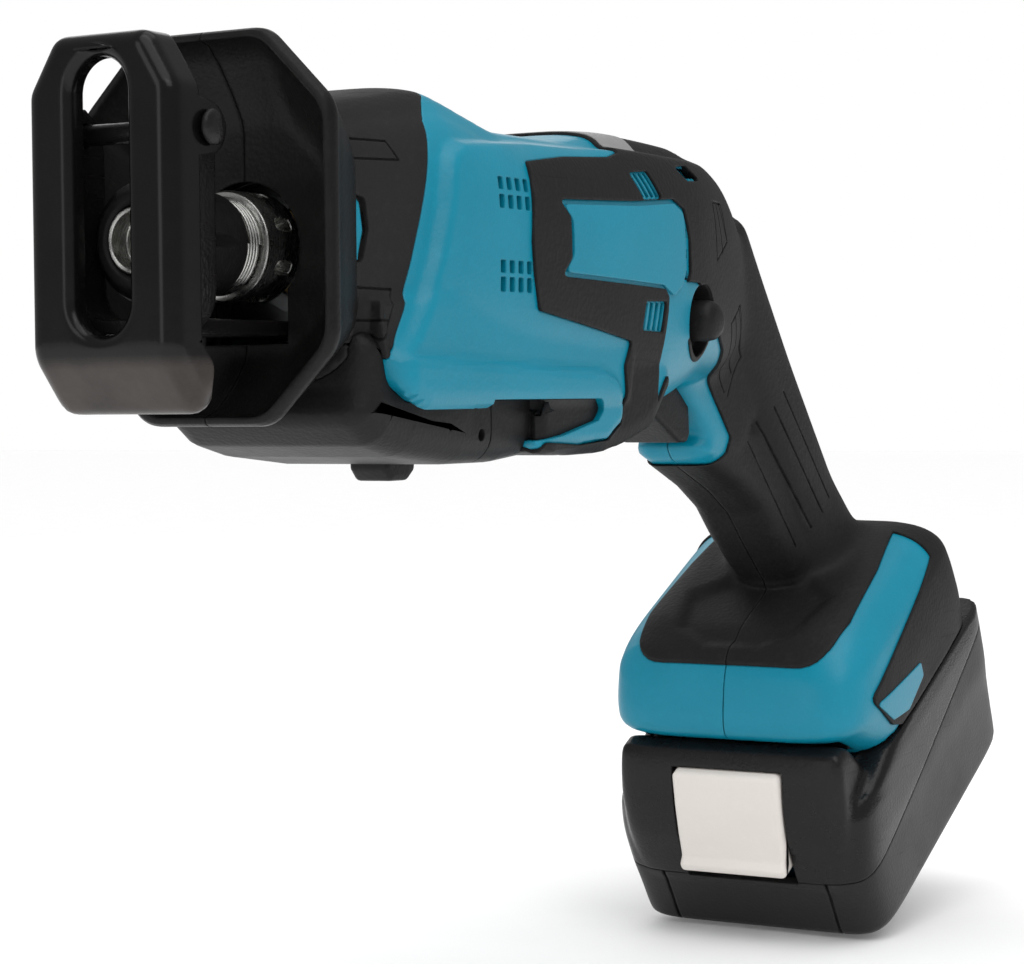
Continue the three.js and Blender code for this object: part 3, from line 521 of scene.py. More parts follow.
COPPER = metal("copper", (0.55, 0.25, 0.12), 0.34, axis=(3, 1, 1))
MAGNET = metal("magnet", (0.05, 0.05, 0.055), 0.6, brushed=200, depth=0.00005)
CELL = metal("cell_sleeve", (0.06, 0.20, 0.35), 0.4)

SLOT_OF = {part["node"]: part["material_slot"] for part in frame["record"]["subparts"]}
SLOT_MATERIALS = {
    "teal_plastic": TEAL, "black_plastic": BLACK, "gloss_black_plastic": GLOSS, "rubber": GRIP, "boot_rubber": BOOT,
    "painted_steel": PAINT, "steel": STEEL, "dark_steel": DARK, "cast_aluminium": CAST, "brass": BRASS,
    "copper": COPPER, "magnet": MAGNET, "cream_plastic": CREAM, "cell_sleeve": CELL}
for name, node in NODES.items():
    node.data.materials.clear()
    node.data.materials.append(SLOT_MATERIALS[SLOT_OF[name]])
    for p in node.data.polygons:
        p.use_smooth = True
    node.data.set_sharp_from_angle(angle=math.radians(35))

# ------------------------------------------------------------ the tool's outer form
BODY = [  # x, half width, bottom, top
    (-50, 24.5, -27.0, 29.0), (-66, 27.0, -29.0, 32.0), (-84, 28.2, -30.0, 34.5), (-92, 28.4, -30.4, 33.2),
    (-100, 28.6, -30.7, 31.3), (-116, 28.8, -31.6, 28.4), (-140, 28.8, -33.5, 28.6), (-156, 28.4, -35.5, 30.6),
    (-170, 27.8, -36.5, 31.4), (-186, 26.5, -33.0, 31.2), (-206, 24.0, -28.0, 30.5), (-220, 21.0, -27.0, 27.8),
    (-232, 17.8, -24.5, 21.5), (-243, 14.0, -20.0, 13.0), (-251, 9.5, -10.0, 5.0)]
HANDLE_SLOPE = math.radians(49.7)
HANDLE_TOP = (-236.5, 0.0, 7.0)
HANDLE = [(0, 17, 15.2), (24, 16, 14.8), (50, 15.4, 14.4), (84, 15.6, 14.4), (104, 17.5, 16.5), (124, 19.5, 19.5)]
LIP = [(-226, -42.4), (-229, -46), (-237, -49), (-250, -54), (-262, -60.5), (-270, -68), (-284, -80), (-300, -80),
       (-280, -50), (-262, -36), (-234, -38)]
FOOT = [(46, -21, -99, 37), (55, -12, -99.5, 37.6), (60, -7, -99, 37.8), (71, -12, -97, 37.2),
        (78, -19, -91, 33.5), (81.5, -29, -82, 27)]
PACK = [(0, -3, -101, 34.5), (2.5, -0.6, -104, 36.6), (12, 0.4, -104.3, 37), (21, 1.2, -104.5, 37.4),
        (30, 0.6, -105, 38), (36.5, -1.2, -105, 38), (41, -4.4, -105, 37.2)]
SHELF = [(30, -2, -105, 38), (40, -7, -105.4, 38), (45.4, -24, -105.5, 37.6)]
HEAD = [(18, 1.6, -24, 32.6), (24, 2.2, -24, 33.0), (32, 2.4, -24, 33.4), (40, 1.2, -22, 33.4), (48, -1.6, -17.6, 33),
        (54, -4.8, -13.4, 32.2), (55.4, -6, -11.6, 31)]


def filled_in(rows, step):
    """Rows of numbers resampled along their first column on a smooth curve that doesn't overshoot."""
    rows = np.array(rows, float)
    x = rows[:, 0]
    flip = x[0] > x[-1]
    if flip:
        rows, x = rows[::-1], x[::-1]
    at = np.unique(np.concatenate([np.arange(x[0], x[-1], step), x]))
    out = [at]
    for k in range(1, rows.shape[1]):
        y = rows[:, k]
        d = np.diff(y) / np.diff(x)
        m = np.concatenate([[d[0]], np.where(d[:-1] * d[1:] > 0, 2 * d[:-1] * d[1:] / (d[:-1] + d[1:] + 1e-12), 0),
                            [d[-1]]])
        i = np.clip(np.searchsorted(x, at, "right") - 1, 0, len(x) - 2)
        h = x[i + 1] - x[i]
        t = (at - x[i]) / h
        out.append((2 * t**3 - 3 * t**2 + 1) * y[i] + (t**3 - 2 * t**2 + t) * h * m[i]
                   + (-2 * t**3 + 3 * t**2) * y[i + 1] + (t**3 - t**2) * h * m[i + 1])
    out = np.stack(out, 1)
    return out[::-1] if flip else out


def oval(half_u, half_v, square, count=128):
    """A superellipse, squarer as its exponent grows."""
    a = 2 * math.pi * (np.arange(count) + 0.5) / count
    bend = lambda v: np.sign(v) * np.abs(v) ** (2 / square)
    return half_u * bend(np.cos(a)), half_v * bend(np.sin(a))


def body_form(inset=0.0):
    rings = []
    rows = filled_in(BODY, 3)
    for i, (x, half_w, bottom, top) in enumerate(rows):
        u, v = oval(half_w - inset, (top - bottom) / 2 - inset, 3.4)
        end = inset if i == len(rows) - 1 else 0
        rings.append(np.stack([np.full_like(u, x + end), u, (top + bottom) / 2 + v], 1))
    return loft(rings)


def handle_form(inset=0.0):
    along = np.array((-math.cos(HANDLE_SLOPE), 0, -math.sin(HANDLE_SLOPE)))
    back = np.array((-math.sin(HANDLE_SLOPE), 0, math.cos(HANDLE_SLOPE)))
    rings = []
    for i, (d, depth, half_w) in enumerate(filled_in(HANDLE, 4)):
        centre = np.array(HANDLE_TOP) + along * (d + (inset if i == 0 else 0))
        u, v = oval(half_w - inset, depth - inset, 2.5)
        rings.append(centre + np.outer(v, back) + np.outer(u, (0, 1, 0)))
    return loft(rings)


def battery_loft(rows, inset=0.0, square=6.0, step=2.0):
    rows = filled_in(rows, step)
    rings = []
    for i, (z, front, rear, half_w) in enumerate(rows):
        lift = inset * (1 - 2 * i / (len(rows) - 1))
        u, v = oval((front - rear) / 2 - inset, half_w - inset, square)
        rings.append(np.stack([(front + rear) / 2 + u, v, np.full_like(u, z + lift)], 1))
    return in_battery(loft(rings))


BAY = [(-150, -70), (-181.5, -70), (-183, -43), (-188, -40), (-195, -33), (-206.5, -24.6), (-209.5, -26.8),
       (-222.8, -38.4), (-225.6, -42.0), (-225.6, -70)]
LEDGE = [(-30, -17.5), (-58, -21.8), (-88, -22.8), (-126, -24), (-138, -24.2), (-144, -26), (-148.5, -31),
         (-148, -35.5), (-141, -39), (-127, -40), (-105, -40), (-80, -34), (-30, -34)]
WEDGE = [(-90, -30.3), (-136, -30.3), (-139.3, -32.3), (-136.3, -35.1), (-121, -38.1), (-108, -39.6), (-100, -46),
         (-90, -46)]
SPLIT = [(-96, 60), (-90, 36), (-82, 31), (-77, 26.3), (-74.6, 20.1), (-72.5, 13.9), (-69.7, 5.7), (-66.6, -2.8),
         (-62.7, -12.4), (-58.2, -19.5), (-53.5, -25), (-51, -30), (-48, -60)]
BULGE = [(-84, 22.5), (-80, 20.5), (-78, 18), (-76, 9), (-73, 0), (-69, -9), (-63, -17), (-58, -21), (-60, -60),
         (-230, -60), (-230, 26.5), (-150, 26.5), (-116, 25.2)]
FOOT_BLEND = 25 / 27  # how far the handle's root is smoothed into the foot
PAD = [(-27, -17.5), (-43, -20.5), (-51, -12), (-51, 12), (-43, 20.5), (-27, 17.5), (-22, 8), (-22, -8)]


def tool_form():
    """The body, handle and foot as one smooth skin, with the shoulder, ledge and thumb recess worked into it."""
    hull = prism(rounded([(-112, -27), (-112, -41.0), (-128, -42.0), (-142, -41.8), (-153, -40), (-166, -36.5),
                          (-178, -24), (-150, -14)],
                         [1, 1.5, 4, 6, 6, 5, 3, 1]), -26.6, 26.6, 3.5, 5)
    skirt = prism(rounded([(-53, -10), (-57, -27), (-64, -30.6), (-99, -30.4), (-136, -30.4), (-152, -30.4),
                           (-156, -12), (-120, -5)],
                          [1, 4, 6, 1, 1, 1, 1, 1]), -27.8, 27.8, 1.6, 4)
    lip = prism(rounded(LIP, [1.5, 2.5, 6, 10, 10, 8, 0, 0, 0, 0, 0], 5), -10.5, 10.5, 4.5, 6)
    cheek = prism(rounded([(-190, -10), (-188, -24), (-207, -22), (-213, -26), (-226, -36), (-232, -43), (-246, -46),
                           (-262, -30), (-240, 0)], 3), -11, 11, 2.5, 4)
    whole = joined(body_form(), handle_form(), battery_loft(FOOT), hull, skirt, lip, cheek)
    skin = remeshed(whole, 0.95)
    skin = relaxed(skin, 8)

    def near_joint(co):
        b = battery_xz(co)
        foot = FOOT_BLEND * np.exp(-((b[:, 1] - 84) / 9) ** 2) * (b[:, 0] < -22)
        neck = np.exp(-(((co[:, 0] + 236) / 22) ** 2 + ((co[:, 2] + 8) / 22) ** 2))
        return np.clip(foot + neck, 0, 1) * (np.abs(co[:, 1]) < 40)

    skin = relaxed(skin, 60, near_joint, pulls=(0.5,))
    co, no = coords(skin), normals(skin)
    xz = co[:, [0, 2]]
    side = smooth(0.25, 0.7, np.abs(no[:, 1]))
    lift = (inside(xz, BULGE, 1.9) - 0.62) * 3.0 * side * (co[:, 0] > -240) * (co[:, 2] > -60)
    rim = lift * smooth(-215, -190, co[:, 0])
    ledge = inside(xz, LEDGE, 0.8) * 1.9 * side
    b = battery_xz(co)
    by = np.stack([b[:, 0], co[:, 1]], 1)
    top = (b[:, 1] > 72) * smooth(0.5, 0.85, no[:, 0] * math.sin(TILT) + no[:, 2] * math.cos(TILT))
    thumb = inside(by, PAD, 2.2) * -1.7 * top
    put(skin, co + no * (rim + ledge + thumb)[:, None])
    return relaxed(skin, 2)


def moved_out(mesh, distance):
    """A copy of a mesh, grown along its normals."""
    m = mesh.copy()
    return put(m, coords(m) + normals(m) * distance)


def beside(outline, far):
    """The space between a line from top to bottom and an upright plane at far."""
    return prism([(far, 300), (outline[0][0], 300), *outline, (outline[-1][0], -300), (far, -300)], -WIDE, WIDE)


def shifted(outline, dx):
    return [(x + dx, z) for x, z in outline]


def line_cut(points, width):
    """Thin upright walls along a line, to cut a groove through a skin."""
    walls = []
    for a, b in zip(points[:-1], points[1:]):
        a, b = np.array(a, float), np.array(b, float)
        d = (b - a) / np.linalg.norm(b - a)
        n = np.array((-d[1], d[0])) * width / 2
        a, b = a - d * width * 0.4, b + d * width * 0.4
        for y0, y1 in ((4, WIDE), (-WIDE, -4)):
            walls.append(prism([tuple(a - n), tuple(b - n), tuple(b + n), tuple(a + n)], y0, y1))
    return walls


def grooved(mesh, floor, walls):
    """A mesh with thin walls cut into it, down to a floor."""
    return csg(mesh, ("-", csg(joined(*walls), ("-", floor))))


form = tool_form()
proud = moved_out(form, 0.7)
under = moved_out(form, -1.5)
hollow = joined(body_form(3.6), handle_form(3.6), battery_loft(FOOT[1:], 4.0))

GRIP_OUTLINE = [  # the rubber's edge, front top round the back to the trigger and forward again
    (-108.5, 20), (-128, 22.5), (-150, 24), (-156, 25.5), (-158, 60), (-420, 60), (-420, -240), (-180, -240),
    (-100, -120), (-205, -70), (-222, -49.5), (-234, -47.5), (-239, -44.5), (-240.5, -40.5), (-228, -27.3),
    (-219.4, -18.7), (-210, -14.5), (-203, -8), (-190, -3), (-176, -3), (-171, -12), (-170, -22), (-177, -33),
    (-176, -42), (-172, -60), (-150, -60), (-112, -60), (-112.5, -39.6), (-128, -40.4),
    (-142, -39.6), (-148.6, -36), (-150.2, -31), (-149.3, -23), (-152.5, -17.5), (-128, -14), (-109.5, -11.5),
    (-107.5, -4), (-106.8, 3), (-108, 15)]
PLATE = [(-118.5, 12.6), (-154, 14.2), (-176, 16), (-182, 14), (-184.5, 7), (-184.5, -1), (-181.5, -5), (-183, -17),
         (-176, -20), (-166.5, -33), (-168.2, -20), (-170.5, -10.5), (-171, -7), (-169, -5.2), (-118.5, -4),
         (-123, 0), (-123, 9)]
VENTS = [[(-154.5, 20.8), (-165.2, 21.8), (-169.8, 15.6), (-159.2, 14.8)],
         [(-182, 24), (-191, 25), (-197.5, 21.6), (-188, 21)],
         [(-158.4, -8.3), (-169.8, -8), (-167.8, -15.2), (-156.6, -15)]]
BACK_STRIP = [(-252, 8), (-262, -1), (-274, -14), (-318, -66), (-322, -62), (-280, 6)]

# foot: the black top pad and black rear sides, in the battery's own frame
PAD_TOP = [(-16.5, -27.5), (-16.5, 27.5), (-34, 29.8), (-60, 28.2), (-90, 24), (-130, 24), (-130, -24), (-90, -24),
           (-60, -28.2), (-34, -29.8)]
REAR_SIDE = [(-83, 92), (-78.5, 74.3), (-21.5, 63.6), (-31, 50), (-40.5, 44), (-130, 40), (-130, 92)]


def upright(points, z0, z1):
    """An outline in X and Y of the battery's frame, extruded along its Z."""
    rings = [[(x, y, z) for x, y in points] for z in (z0, z1)]
    return in_battery(loft(rings))


def band(points, y0, y1):
    """An outline in X and Z of the battery's frame, extruded across Y."""
    return in_battery(prism(points, y0, y1))


def grip_space():
    """Where the rubber lies: the outline, less its windows and the teal parts of the foot."""
    zone = prism(rounded(GRIP_OUTLINE, 1.2, 3), -WIDE, WIDE)
    plate = prism(rounded(PLATE, 1.0, 3), -WIDE, WIDE)
    vents = [prism(rounded(v, 0.9, 3), -WIDE, WIDE) for v in VENTS]
    strip = prism(BACK_STRIP, -8.5, 8.5)
    foot = band([(-160, 30), (60, 30), (60, 90), (-20, 92), (-55, 98), (-95, 96), (-160, 92)], -WIDE, WIDE)
    pad = upright(rounded(PAD_TOP, [11, 11, 4, 6, 0, 0, 0, 0, 6, 4], 6), 62, 100)
    rear = band(rounded(REAR_SIDE, [0, 1, 2, 1, 1, 0, 0], 3), -WIDE, WIDE)
    teal_foot = csg(foot, ("-", pad), ("-", rear))
    return csg(zone, ("-", plate), *[("-", v) for v in vents], ("-", strip), ("-", teal_foot))


rubber_space = grip_space()
boot_space = beside(shifted(SPLIT, SEAM), 40)
tool_space = beside(shifted(SPLIT, -SEAM), -700)
trigger_gap = prism(rounded(BAY, [0, 0, 2, 2, 2, 1.2, 1, 2, 1, 0], 4), -9.2, 9.2)
knob_well = spin([(18, 8.6), (60, 9.4)], LOCK_OFF, "y")
knob_wells = joined(knob_well, mirrored(knob_well))


def slats(outline, count, width):
    """Dark slots between the louvres of a vent."""
    a, b, c, d = [np.array(p, float) for p in outline]
    cuts = []
    for i in range(count):
        t = (i + 0.5) / count
        top, bottom = a + (b - a) * t, d + (c - d) * t
        down = (bottom - top) / np.linalg.norm(bottom - top)
        cuts += line_cut([tuple(top + down * 0.9), tuple(bottom - down * 0.9)], width)
    return cuts


def front_vents():
    cuts = []
    for x in (-95.4, -98.9, -102.4, -105.9):
        for top, bottom in ((16.0, 13.3), (12.3, 9.4), (-1.3, -4.0), (-4.8, -7.9)):
            outline = rounded([(x - 1.05, top), (x + 1.05, top), (x + 1.05, bottom), (x - 1.05, bottom)], 0.4, 2)
            cuts += [prism(outline, 14, 60), prism(outline, -60, -14)]
    return cuts


SCREWS = [(-172, -29), (-136, -24.5), (-203, 20), (-240, 6), (-265.5, -27), (-290, -56)]
LIP_SECTION = [(-200, 45), (60, 45), (60, 49), (-200, 49)]
lips = joined(band(LIP_SECTION, 26.7, 31), band(LIP_SECTION, -31, -26.7))
channel = csg(band([(-200, 36), (60, 36), (60, 56), (-200, 56)], -29.7, 29.7), ("-", lips))
window = band([(-94, 46), (-58, 46), (-58, 64), (-94, 64)], -13, 13)
screw_holes = joined(*[spin([(-60, 3.6), (-12, 3.6)], at, "y", 24) for at in SCREWS])
wedge = prism(rounded(WEDGE, [0, 1, 1.5, 1.5, 2, 1, 0, 0], 4), 16, 60)
wedges = joined(wedge, mirrored(wedge))
openings = joined(wedges, trigger_gap, knob_wells, screw_holes, csg(channel, ("-", window)), window)
lip_hollow = prism([(-236, -41), (-241, -45), (-254, -51), (-266, -62), (-290, -80), (-280, -50), (-262, -36)],
                   -5.8, 5.8)
hollow = joined(hollow, lip_hollow)
shell = csg(form, ("-", hollow), ("&", tool_space))
layer = csg(rubber_space, ("-", moved_out(form, -1.9)))
teal = csg(shell, ("-", layer), ("-", openings))
spots = [prism(rounded([(-181.6, z + 1.2), (-183.4, z + 1.2), (-183.6, z - 1.0), (-181.8, z - 1.0)], 0.3, 2), 15, 60)
         for z in (8.2, 3.4, -1.6)]
vents = [wall for outline, width in zip(VENTS, (1.5, 1.3, 1.6)) for wall in slats(outline, 4, width)]
teal = csg(teal, ("-", joined(*front_vents(), *vents, *spots, *[mirrored(spot) for spot in spots])))
rubber = csg(proud, ("-", under), ("&", rubber_space), ("-", openings))

RIBS = [[(-203.5, 17), (-205, 3)], [(-206.5, 17), (-211, 5)], [(-209.5, 17), (-216, 8)],
        [(-203.5, 17), (-212, 17), (-216, 8), (-205, 3)],
        [(-222, -12), (-236, -29)], [(-226, -10), (-240, -24)], [(-230, -7.5), (-243, -19)],
        [(-222, -12), (-232, -7), (-244, -20), (-238, -30)],
        [(-257, -37), (-286, -66)], [(-261, -33), (-290, -62)], [(-265, -29), (-294, -58)], [(-251, -42), (-281, -71)]]
rubber = grooved(rubber, moved_out(proud, -0.55), [wall for rib in RIBS for wall in line_cut(rib, 0.55)])

for side, tag in ((1, "left"), (-1, "right")):
    make(half(teal, side), f"shell_{tag}", "body", TEAL, f"housing_{tag}")
    make(half(rubber, side), f"overmould_{tag}", "body", GRIP, f"grip_{tag}")

# ------------------------------------------------------------ front boot and bottom cover
BOOT_PANELS = [[(-40, 20.8), (-62, 21.0), (-64.4, 17.4), (-40, 16.6)],
               [(-40, -8), (-60.5, -8.4), (-57.2, -14.6), (-40, -14.4)],
               [(-40, -14.4), (-57.2, -14.6), (-54.5, -19.2), (-40, -19.2)]]


def front_boot():
    skin = csg(form, ("&", boot_space))
    mouth = joined(spin([(-60, 13), (-40, 13)], (0, 0), "x"), box(-60, -40, -10, 10, -19, 0))
    skin = csg(skin, ("-", csg(body_form(3), ("-", box(-54, 20, -60, 60, -80, 80)))), ("-", mouth))
    floor = moved_out(form, -0.5)
    skin = grooved(skin, floor, [wall for panel in BOOT_PANELS for wall in line_cut(panel + panel[:1], 0.5)])
    recess = prism(rounded([(-38, 10.4), (-53.6, 9.6), (-54.4, 3), (-52.6, -3.2), (-38, -4.4)], 1.5), 15, 60)
    deep = moved_out(form, -1.6)
    for side in (recess, mirrored(recess)):
        skin = csg(skin, ("-", csg(side, ("-", deep))))
    return skin


boot = front_boot()
make(boot, "front_boot_skin", "body", BOOT, "front_boot")


def boot_insert():
    """The teal tab of the housing that shows in the boot's side window."""
    outline = rounded([(-49, 9.2), (-52.3, 8.8), (-53.2, 3), (-51.6, -2.6), (-49, -3.4)], 1.2)
    return csg(prism(outline, 15, WIDE), ("&", moved_out(form, -0.55)), ("-", moved_out(form, -2.6)))


insert = boot_insert()
make_pair(insert, mirrored(insert), "boot_insert", TEAL)

COVER = [(-50.5, -16), (-50.5, -28), (-48.5, -34), (-56, -39.2), (-66, -41.6), (-86, -43.6), (-104, -43.6),
         (-126, -41.6), (-148, -38.2), (-158, -33), (-158, -16)]


def bottom_cover():
    body = prism(rounded(COVER, 5), -25.5, 25.5, 6.5, 6)
    body = joined(body, prism([(-70, -24), (-70, -31), (-150, -31), (-150, -24)], -24, 24),
                  csg(wedges, ("&", moved_out(form, -1.5)), ("-", box(-200, 0, -18, 18, -80, 0))))
    body = csg(body, ("-", csg(moved_out(form, SEAM), ("-", wedges))), ("-", box(-101.5, -86.5, -5.6, 5.6, -60, -20)))
    cuts = line_cut([(-96.6, -26), (-96.6, -47)], 0.45)
    shrunk = prism(rounded(COVER, 5), -24.9, 24.9, 6.0, 6)
    body = grooved(body, shrunk, cuts)
    for x, z, r in ((-80.5, -35.8, 0.75), (-92.8, -37.6, 1.3)):
        hole = spin([(16, r), (40, r)], (x, z), "y", 24)
        body = csg(body, ("-", hole), ("-", mirrored(hole)))
    return body


make(bottom_cover(), "bottom_cover_shell", "body", BLACK, "bottom_cover")

tab = prism(rounded([(-100.4, -36), (-87.6, -36), (-88.2, -44.8), (-90.5, -47.3), (-96.8, -47.3), (-99.6, -45.2)], 1.6),
            -4.9, 4.9, 1.3, 4)
make(tab, "release_tab", "shoe_release", BLACK, "shoe_release_button")


# ------------------------------------------------------------ guard
def eight(x, half_w, bottom, top, cut):
    """An octagon with rounded corners, across the stroke axis."""
    pts = [(half_w - cut, top), (half_w, top - cut), (half_w, bottom + cut), (half_w - cut, bottom),
           (-half_w + cut, bottom), (-half_w, bottom + cut), (-half_w, top - cut), (-half_w + cut, top)]
    return [(x, y, z) for y, z in rounded(pts, 8, 8)]


GUARD_SKIN = [  # x, half width, bottom, top, corner cut
    (-31.6, 28.6, -33.6, 39.6, 14.6), (-31.9, 29.4, -34.4, 40.4, 14.9), (-32.8, 29.9, -34.9, 40.9, 15),
    (-34.0, 30, -35, 41, 15), (-35.2, 29.6, -34.6, 40.6, 15), (-36.6, 28.8, -33.6, 39.6, 14.6),
    (-40, 27.6, -32, 37.2, 13.8), (-44, 26.2, -30, 34, 12.8), (-49, 24, -26.5, 28.5, 11)]
GUARD_DISH = [
    (-30.5, 28.6, -33.6, 39.6, 14.6), (-32.0, 28.2, -33.2, 39.2, 14.5), (-34.5, 27.4, -32.4, 38.4, 14.2),
    (-38, 25.4, -29.8, 35.0, 13.0), (-42, 22.8, -26.0, 29.8, 11.2), (-45.0, 20.2, -22.4, 25, 9.5),
    (-45.6, 18.4, -20.4, 22.6, 9)]


def guard():
    outer, dish = (loft([eight(*row) for row in rows]) for rows in (GUARD_SKIN, GUARD_DISH))
    mouth = joined(spin([(-60, 13), (-30, 13)]), box(-60, -30, -10, 10, -19, 0))
    return csg(outer, ("-", dish), ("-", mouth))


hood = guard()
make_pair(half(hood, 1), half(hood, -1), "guard_shell", GUARD, "guard")


# ------------------------------------------------------------ shoe: one pressed sheet
SHOE_SHEET = 1.9
SHOE_OUTLINE = [(-17, -37), (17, -37), (17, 27.2), (10.6, 37.5), (-10.6, 37.5), (-17, 27.2)]


def resampled(points, count, centre):
    """count points round a closed outline, each at its own angle from a centre, from the top."""
    pts = np.array(points, float)
    ang = np.unwrap(np.arctan2(pts[:, 1] - centre[1], pts[:, 0] - centre[0]))
    if ang[-1] < ang[0]:
        pts, ang = pts[::-1], ang[::-1]
    pts = np.vstack([pts, pts, pts])
    ang = np.concatenate([ang, ang + 2 * math.pi, ang + 4 * math.pi])
    at = math.pi / 2 + 2 * math.pi * np.arange(count) / count
    while at[0] < ang[0]:
        at = at + 2 * math.pi
    return np.stack([np.interp(at, ang, pts[:, 0]), np.interp(at, ang, pts[:, 1])], 1)


def inset_outline(points, d):
    pts = np.array(points, float)
    return pts - mitres(pts, 0.6) * d * (1 if area(pts) > 0 else -1)


def bent(ring):
    """The shoe's flat sheet with its lower part bent back. ring is (depth behind the face, y, height)."""
    x, y, z = np.asarray(ring, float).T
    s, soft, angle = -22 - z, 2.6, math.radians(39.5)
    t = np.clip((s + soft) / (2 * soft), 0, 1)
    a = angle * t
    back = np.where(s > soft, math.sin(angle) * (s - soft), 0) + 2 * soft * (1 - np.cos(a)) / angle
    down = np.where(s > soft, math.cos(angle) * (s - soft), 0) + 2 * soft * np.sin(a) / angle
    px = np.where(s < -soft, 0, -back)
    pz = np.where(s < -soft, z, -22 + soft - down)
    return np.stack([px - x * np.cos(a), y, pz + x * np.sin(a)], 1)


def shoe():
    count, centre = 240, (0.0, 7.5)
    outline = rounded(SHOE_OUTLINE, [4.5, 4.5, 5, 4, 4, 5], 8)
    slot_half = 6.4
    slot = [(slot_half * math.cos(a),
             (33 - slot_half if math.sin(a) > 0 else -18 + slot_half) + slot_half * math.sin(a))
            for a in np.linspace(0, 2 * math.pi, 97)[:-1]]
    rings = []

    def add(outline_2d, depth):
        p = resampled(outline_2d, count, centre)
        d = np.full(count, depth) if np.isscalar(depth) else depth
        rings.append(np.stack([d, p[:, 0], p[:, 1]], 1))

    roll = 2.2
    for depth in (4.2, 3.2, roll):
        add(slot, depth)
    for t in np.linspace(0.15, 1, 6) * math.pi / 2:
        add(inset_outline(slot, -roll * (1 - math.cos(t))), roll * (1 - math.sin(t)))
    edge_roll = 3.4
    a = resampled(inset_outline(slot, -roll), count, centre)
    b = resampled(inset_outline(outline, edge_roll), count, centre)
    for t in np.linspace(0, 1, 16)[1:]:
        p = a * (1 - t) + b * t
        rings.append(np.stack([np.zeros(count), p[:, 0], p[:, 1]], 1))
    for t in np.linspace(0.12, 1, 8) * math.pi / 2:
        add(inset_outline(outline, edge_roll * (1 - math.sin(t))), edge_roll * (1 - math.cos(t)))
    p = resampled(outline, count, centre)
    height = p[:, 1]
    side = smooth(14.5, 16.8, np.abs(p[:, 0]))
    lug = 11.5 + np.sqrt(np.clip(25 - (height - 20) ** 2, 0, None))
    end = 8.5 + (np.where(np.abs(height - 20) < 5, np.maximum(8.5, lug), 8.5) - 8.5) * side
    end = np.where(height < -30, 8.5 - 4.0 * smooth(30, 35, -height), end)
    for t in np.linspace(0, 1, 6)[1:]:
        add(outline, edge_roll + (end - edge_roll) * t)
    grid = np.array(rings)
    along = np.gradient(grid, axis=0)
    round_ = np.roll(grid, -1, 1) - np.roll(grid, 1, 1)
    out = np.cross(along, round_)
    out /= np.maximum(np.linalg.norm(out, axis=2, keepdims=True), 1e-9)
    if out[16, :, 0].mean() > 0:
        out = -out
    inner = (grid - out * SHOE_SHEET)[::-1]
    loop = [bent(r) for r in np.concatenate([grid, inner])]
    body = build(np.vstack(loop), wall_faces(len(loop), count, closed=True))
    pin = spin([(-30, 2.3), (30, 2.3)], PIVOT, "y", 32)
    return csg(body, ("-", pin))


make(shoe(), "shoe_plate", "shoe", PAINT, "shoe", sharp=50)


def pivot_pin():
    head = spin([(17.4, 2.2), (17.4, 3.1), (17.9, 3.4), (18.5, 3.2), (18.9, 2.4), (19.0, 1.0)], PIVOT, "y", 40)
    bar = spin([(-17.6, 2.0), (17.6, 2.0)], PIVOT, "y", 40)
    return joined(bar, head, mirrored(head))


make(pivot_pin(), "shoe_pin", "shoe_carrier", GLOSS, "shoe_pivot_pin")


def carrier():
    """A bent steel cradle behind the shoe, and the flat arm that slides in the gear housing."""
    outer = rounded([(14.1, 25), (14.1, -17.5), (-14.1, -17.5), (-14.1, 25)], [0, 9, 9, 0], 10)
    inner = rounded([(11.9, 25), (11.9, -14.9), (-11.9, -14.9), (-11.9, 25)], [0, 7, 7, 0], 10)
    cradle = loft([[(x, y, z) for y, z in outer + inner[::-1]] for x in (-8, -12.5, -17)])
    top = prism([(-30, 30), (10, 30), (10, 24), (-8, 24.2), (-11.5, 25), (-15, 22.5), (-17.2, 17), (-30, 14)], -30, 30)
    cradle = csg(cradle, ("-", top))
    arm = prism([(-16, -14.5), (-82, -14.5), (-82, -17.5), (-16, -17.5)], -9, 9, 0.4, 2)
    pin = spin([(-30, 2.3), (30, 2.3)], PIVOT, "y", 32)
    return csg(joined(cradle, arm), ("-", pin))


make(carrier(), "shoe_cradle", "shoe_carrier", GLOSS, "shoe_carrier")


# ------------------------------------------------------------ blade clamp
def sleeve():
    outer = spin([(-33, 8.6), (-33, 9.6), (-32.4, 10.2), (-28, 10.6), (-25.5, 11.4), (-22, 11.9), (-15, 11.9),
                  (-13.2, 11.2), (-12.2, 9.9), (-11.2, 9.3), (-10.8, 8.6), (-10.8, 7.4), (-11.4, 6.8), (-12.8, 6.7)],
                 sides=96)
    body = csg(outer, ("-", spin([(-40, 8.3), (-12.9, 8.3)])), ("-", spin([(-14, 6.7), (-5, 6.7)])))
    for i in range(8):
        a = i * math.pi / 4
        body = csg(body, ("-", spin([(-30.5, 0.9), (-29.5, 1.4), (-14.5, 1.4), (-13.5, 0.9)],
                                    (12.0 * math.cos(a), 12.0 * math.sin(a)), "x", 20)))
    return body


make(sleeve(), "clamp_collar", "sleeve", BLACK, "clamp_sleeve")


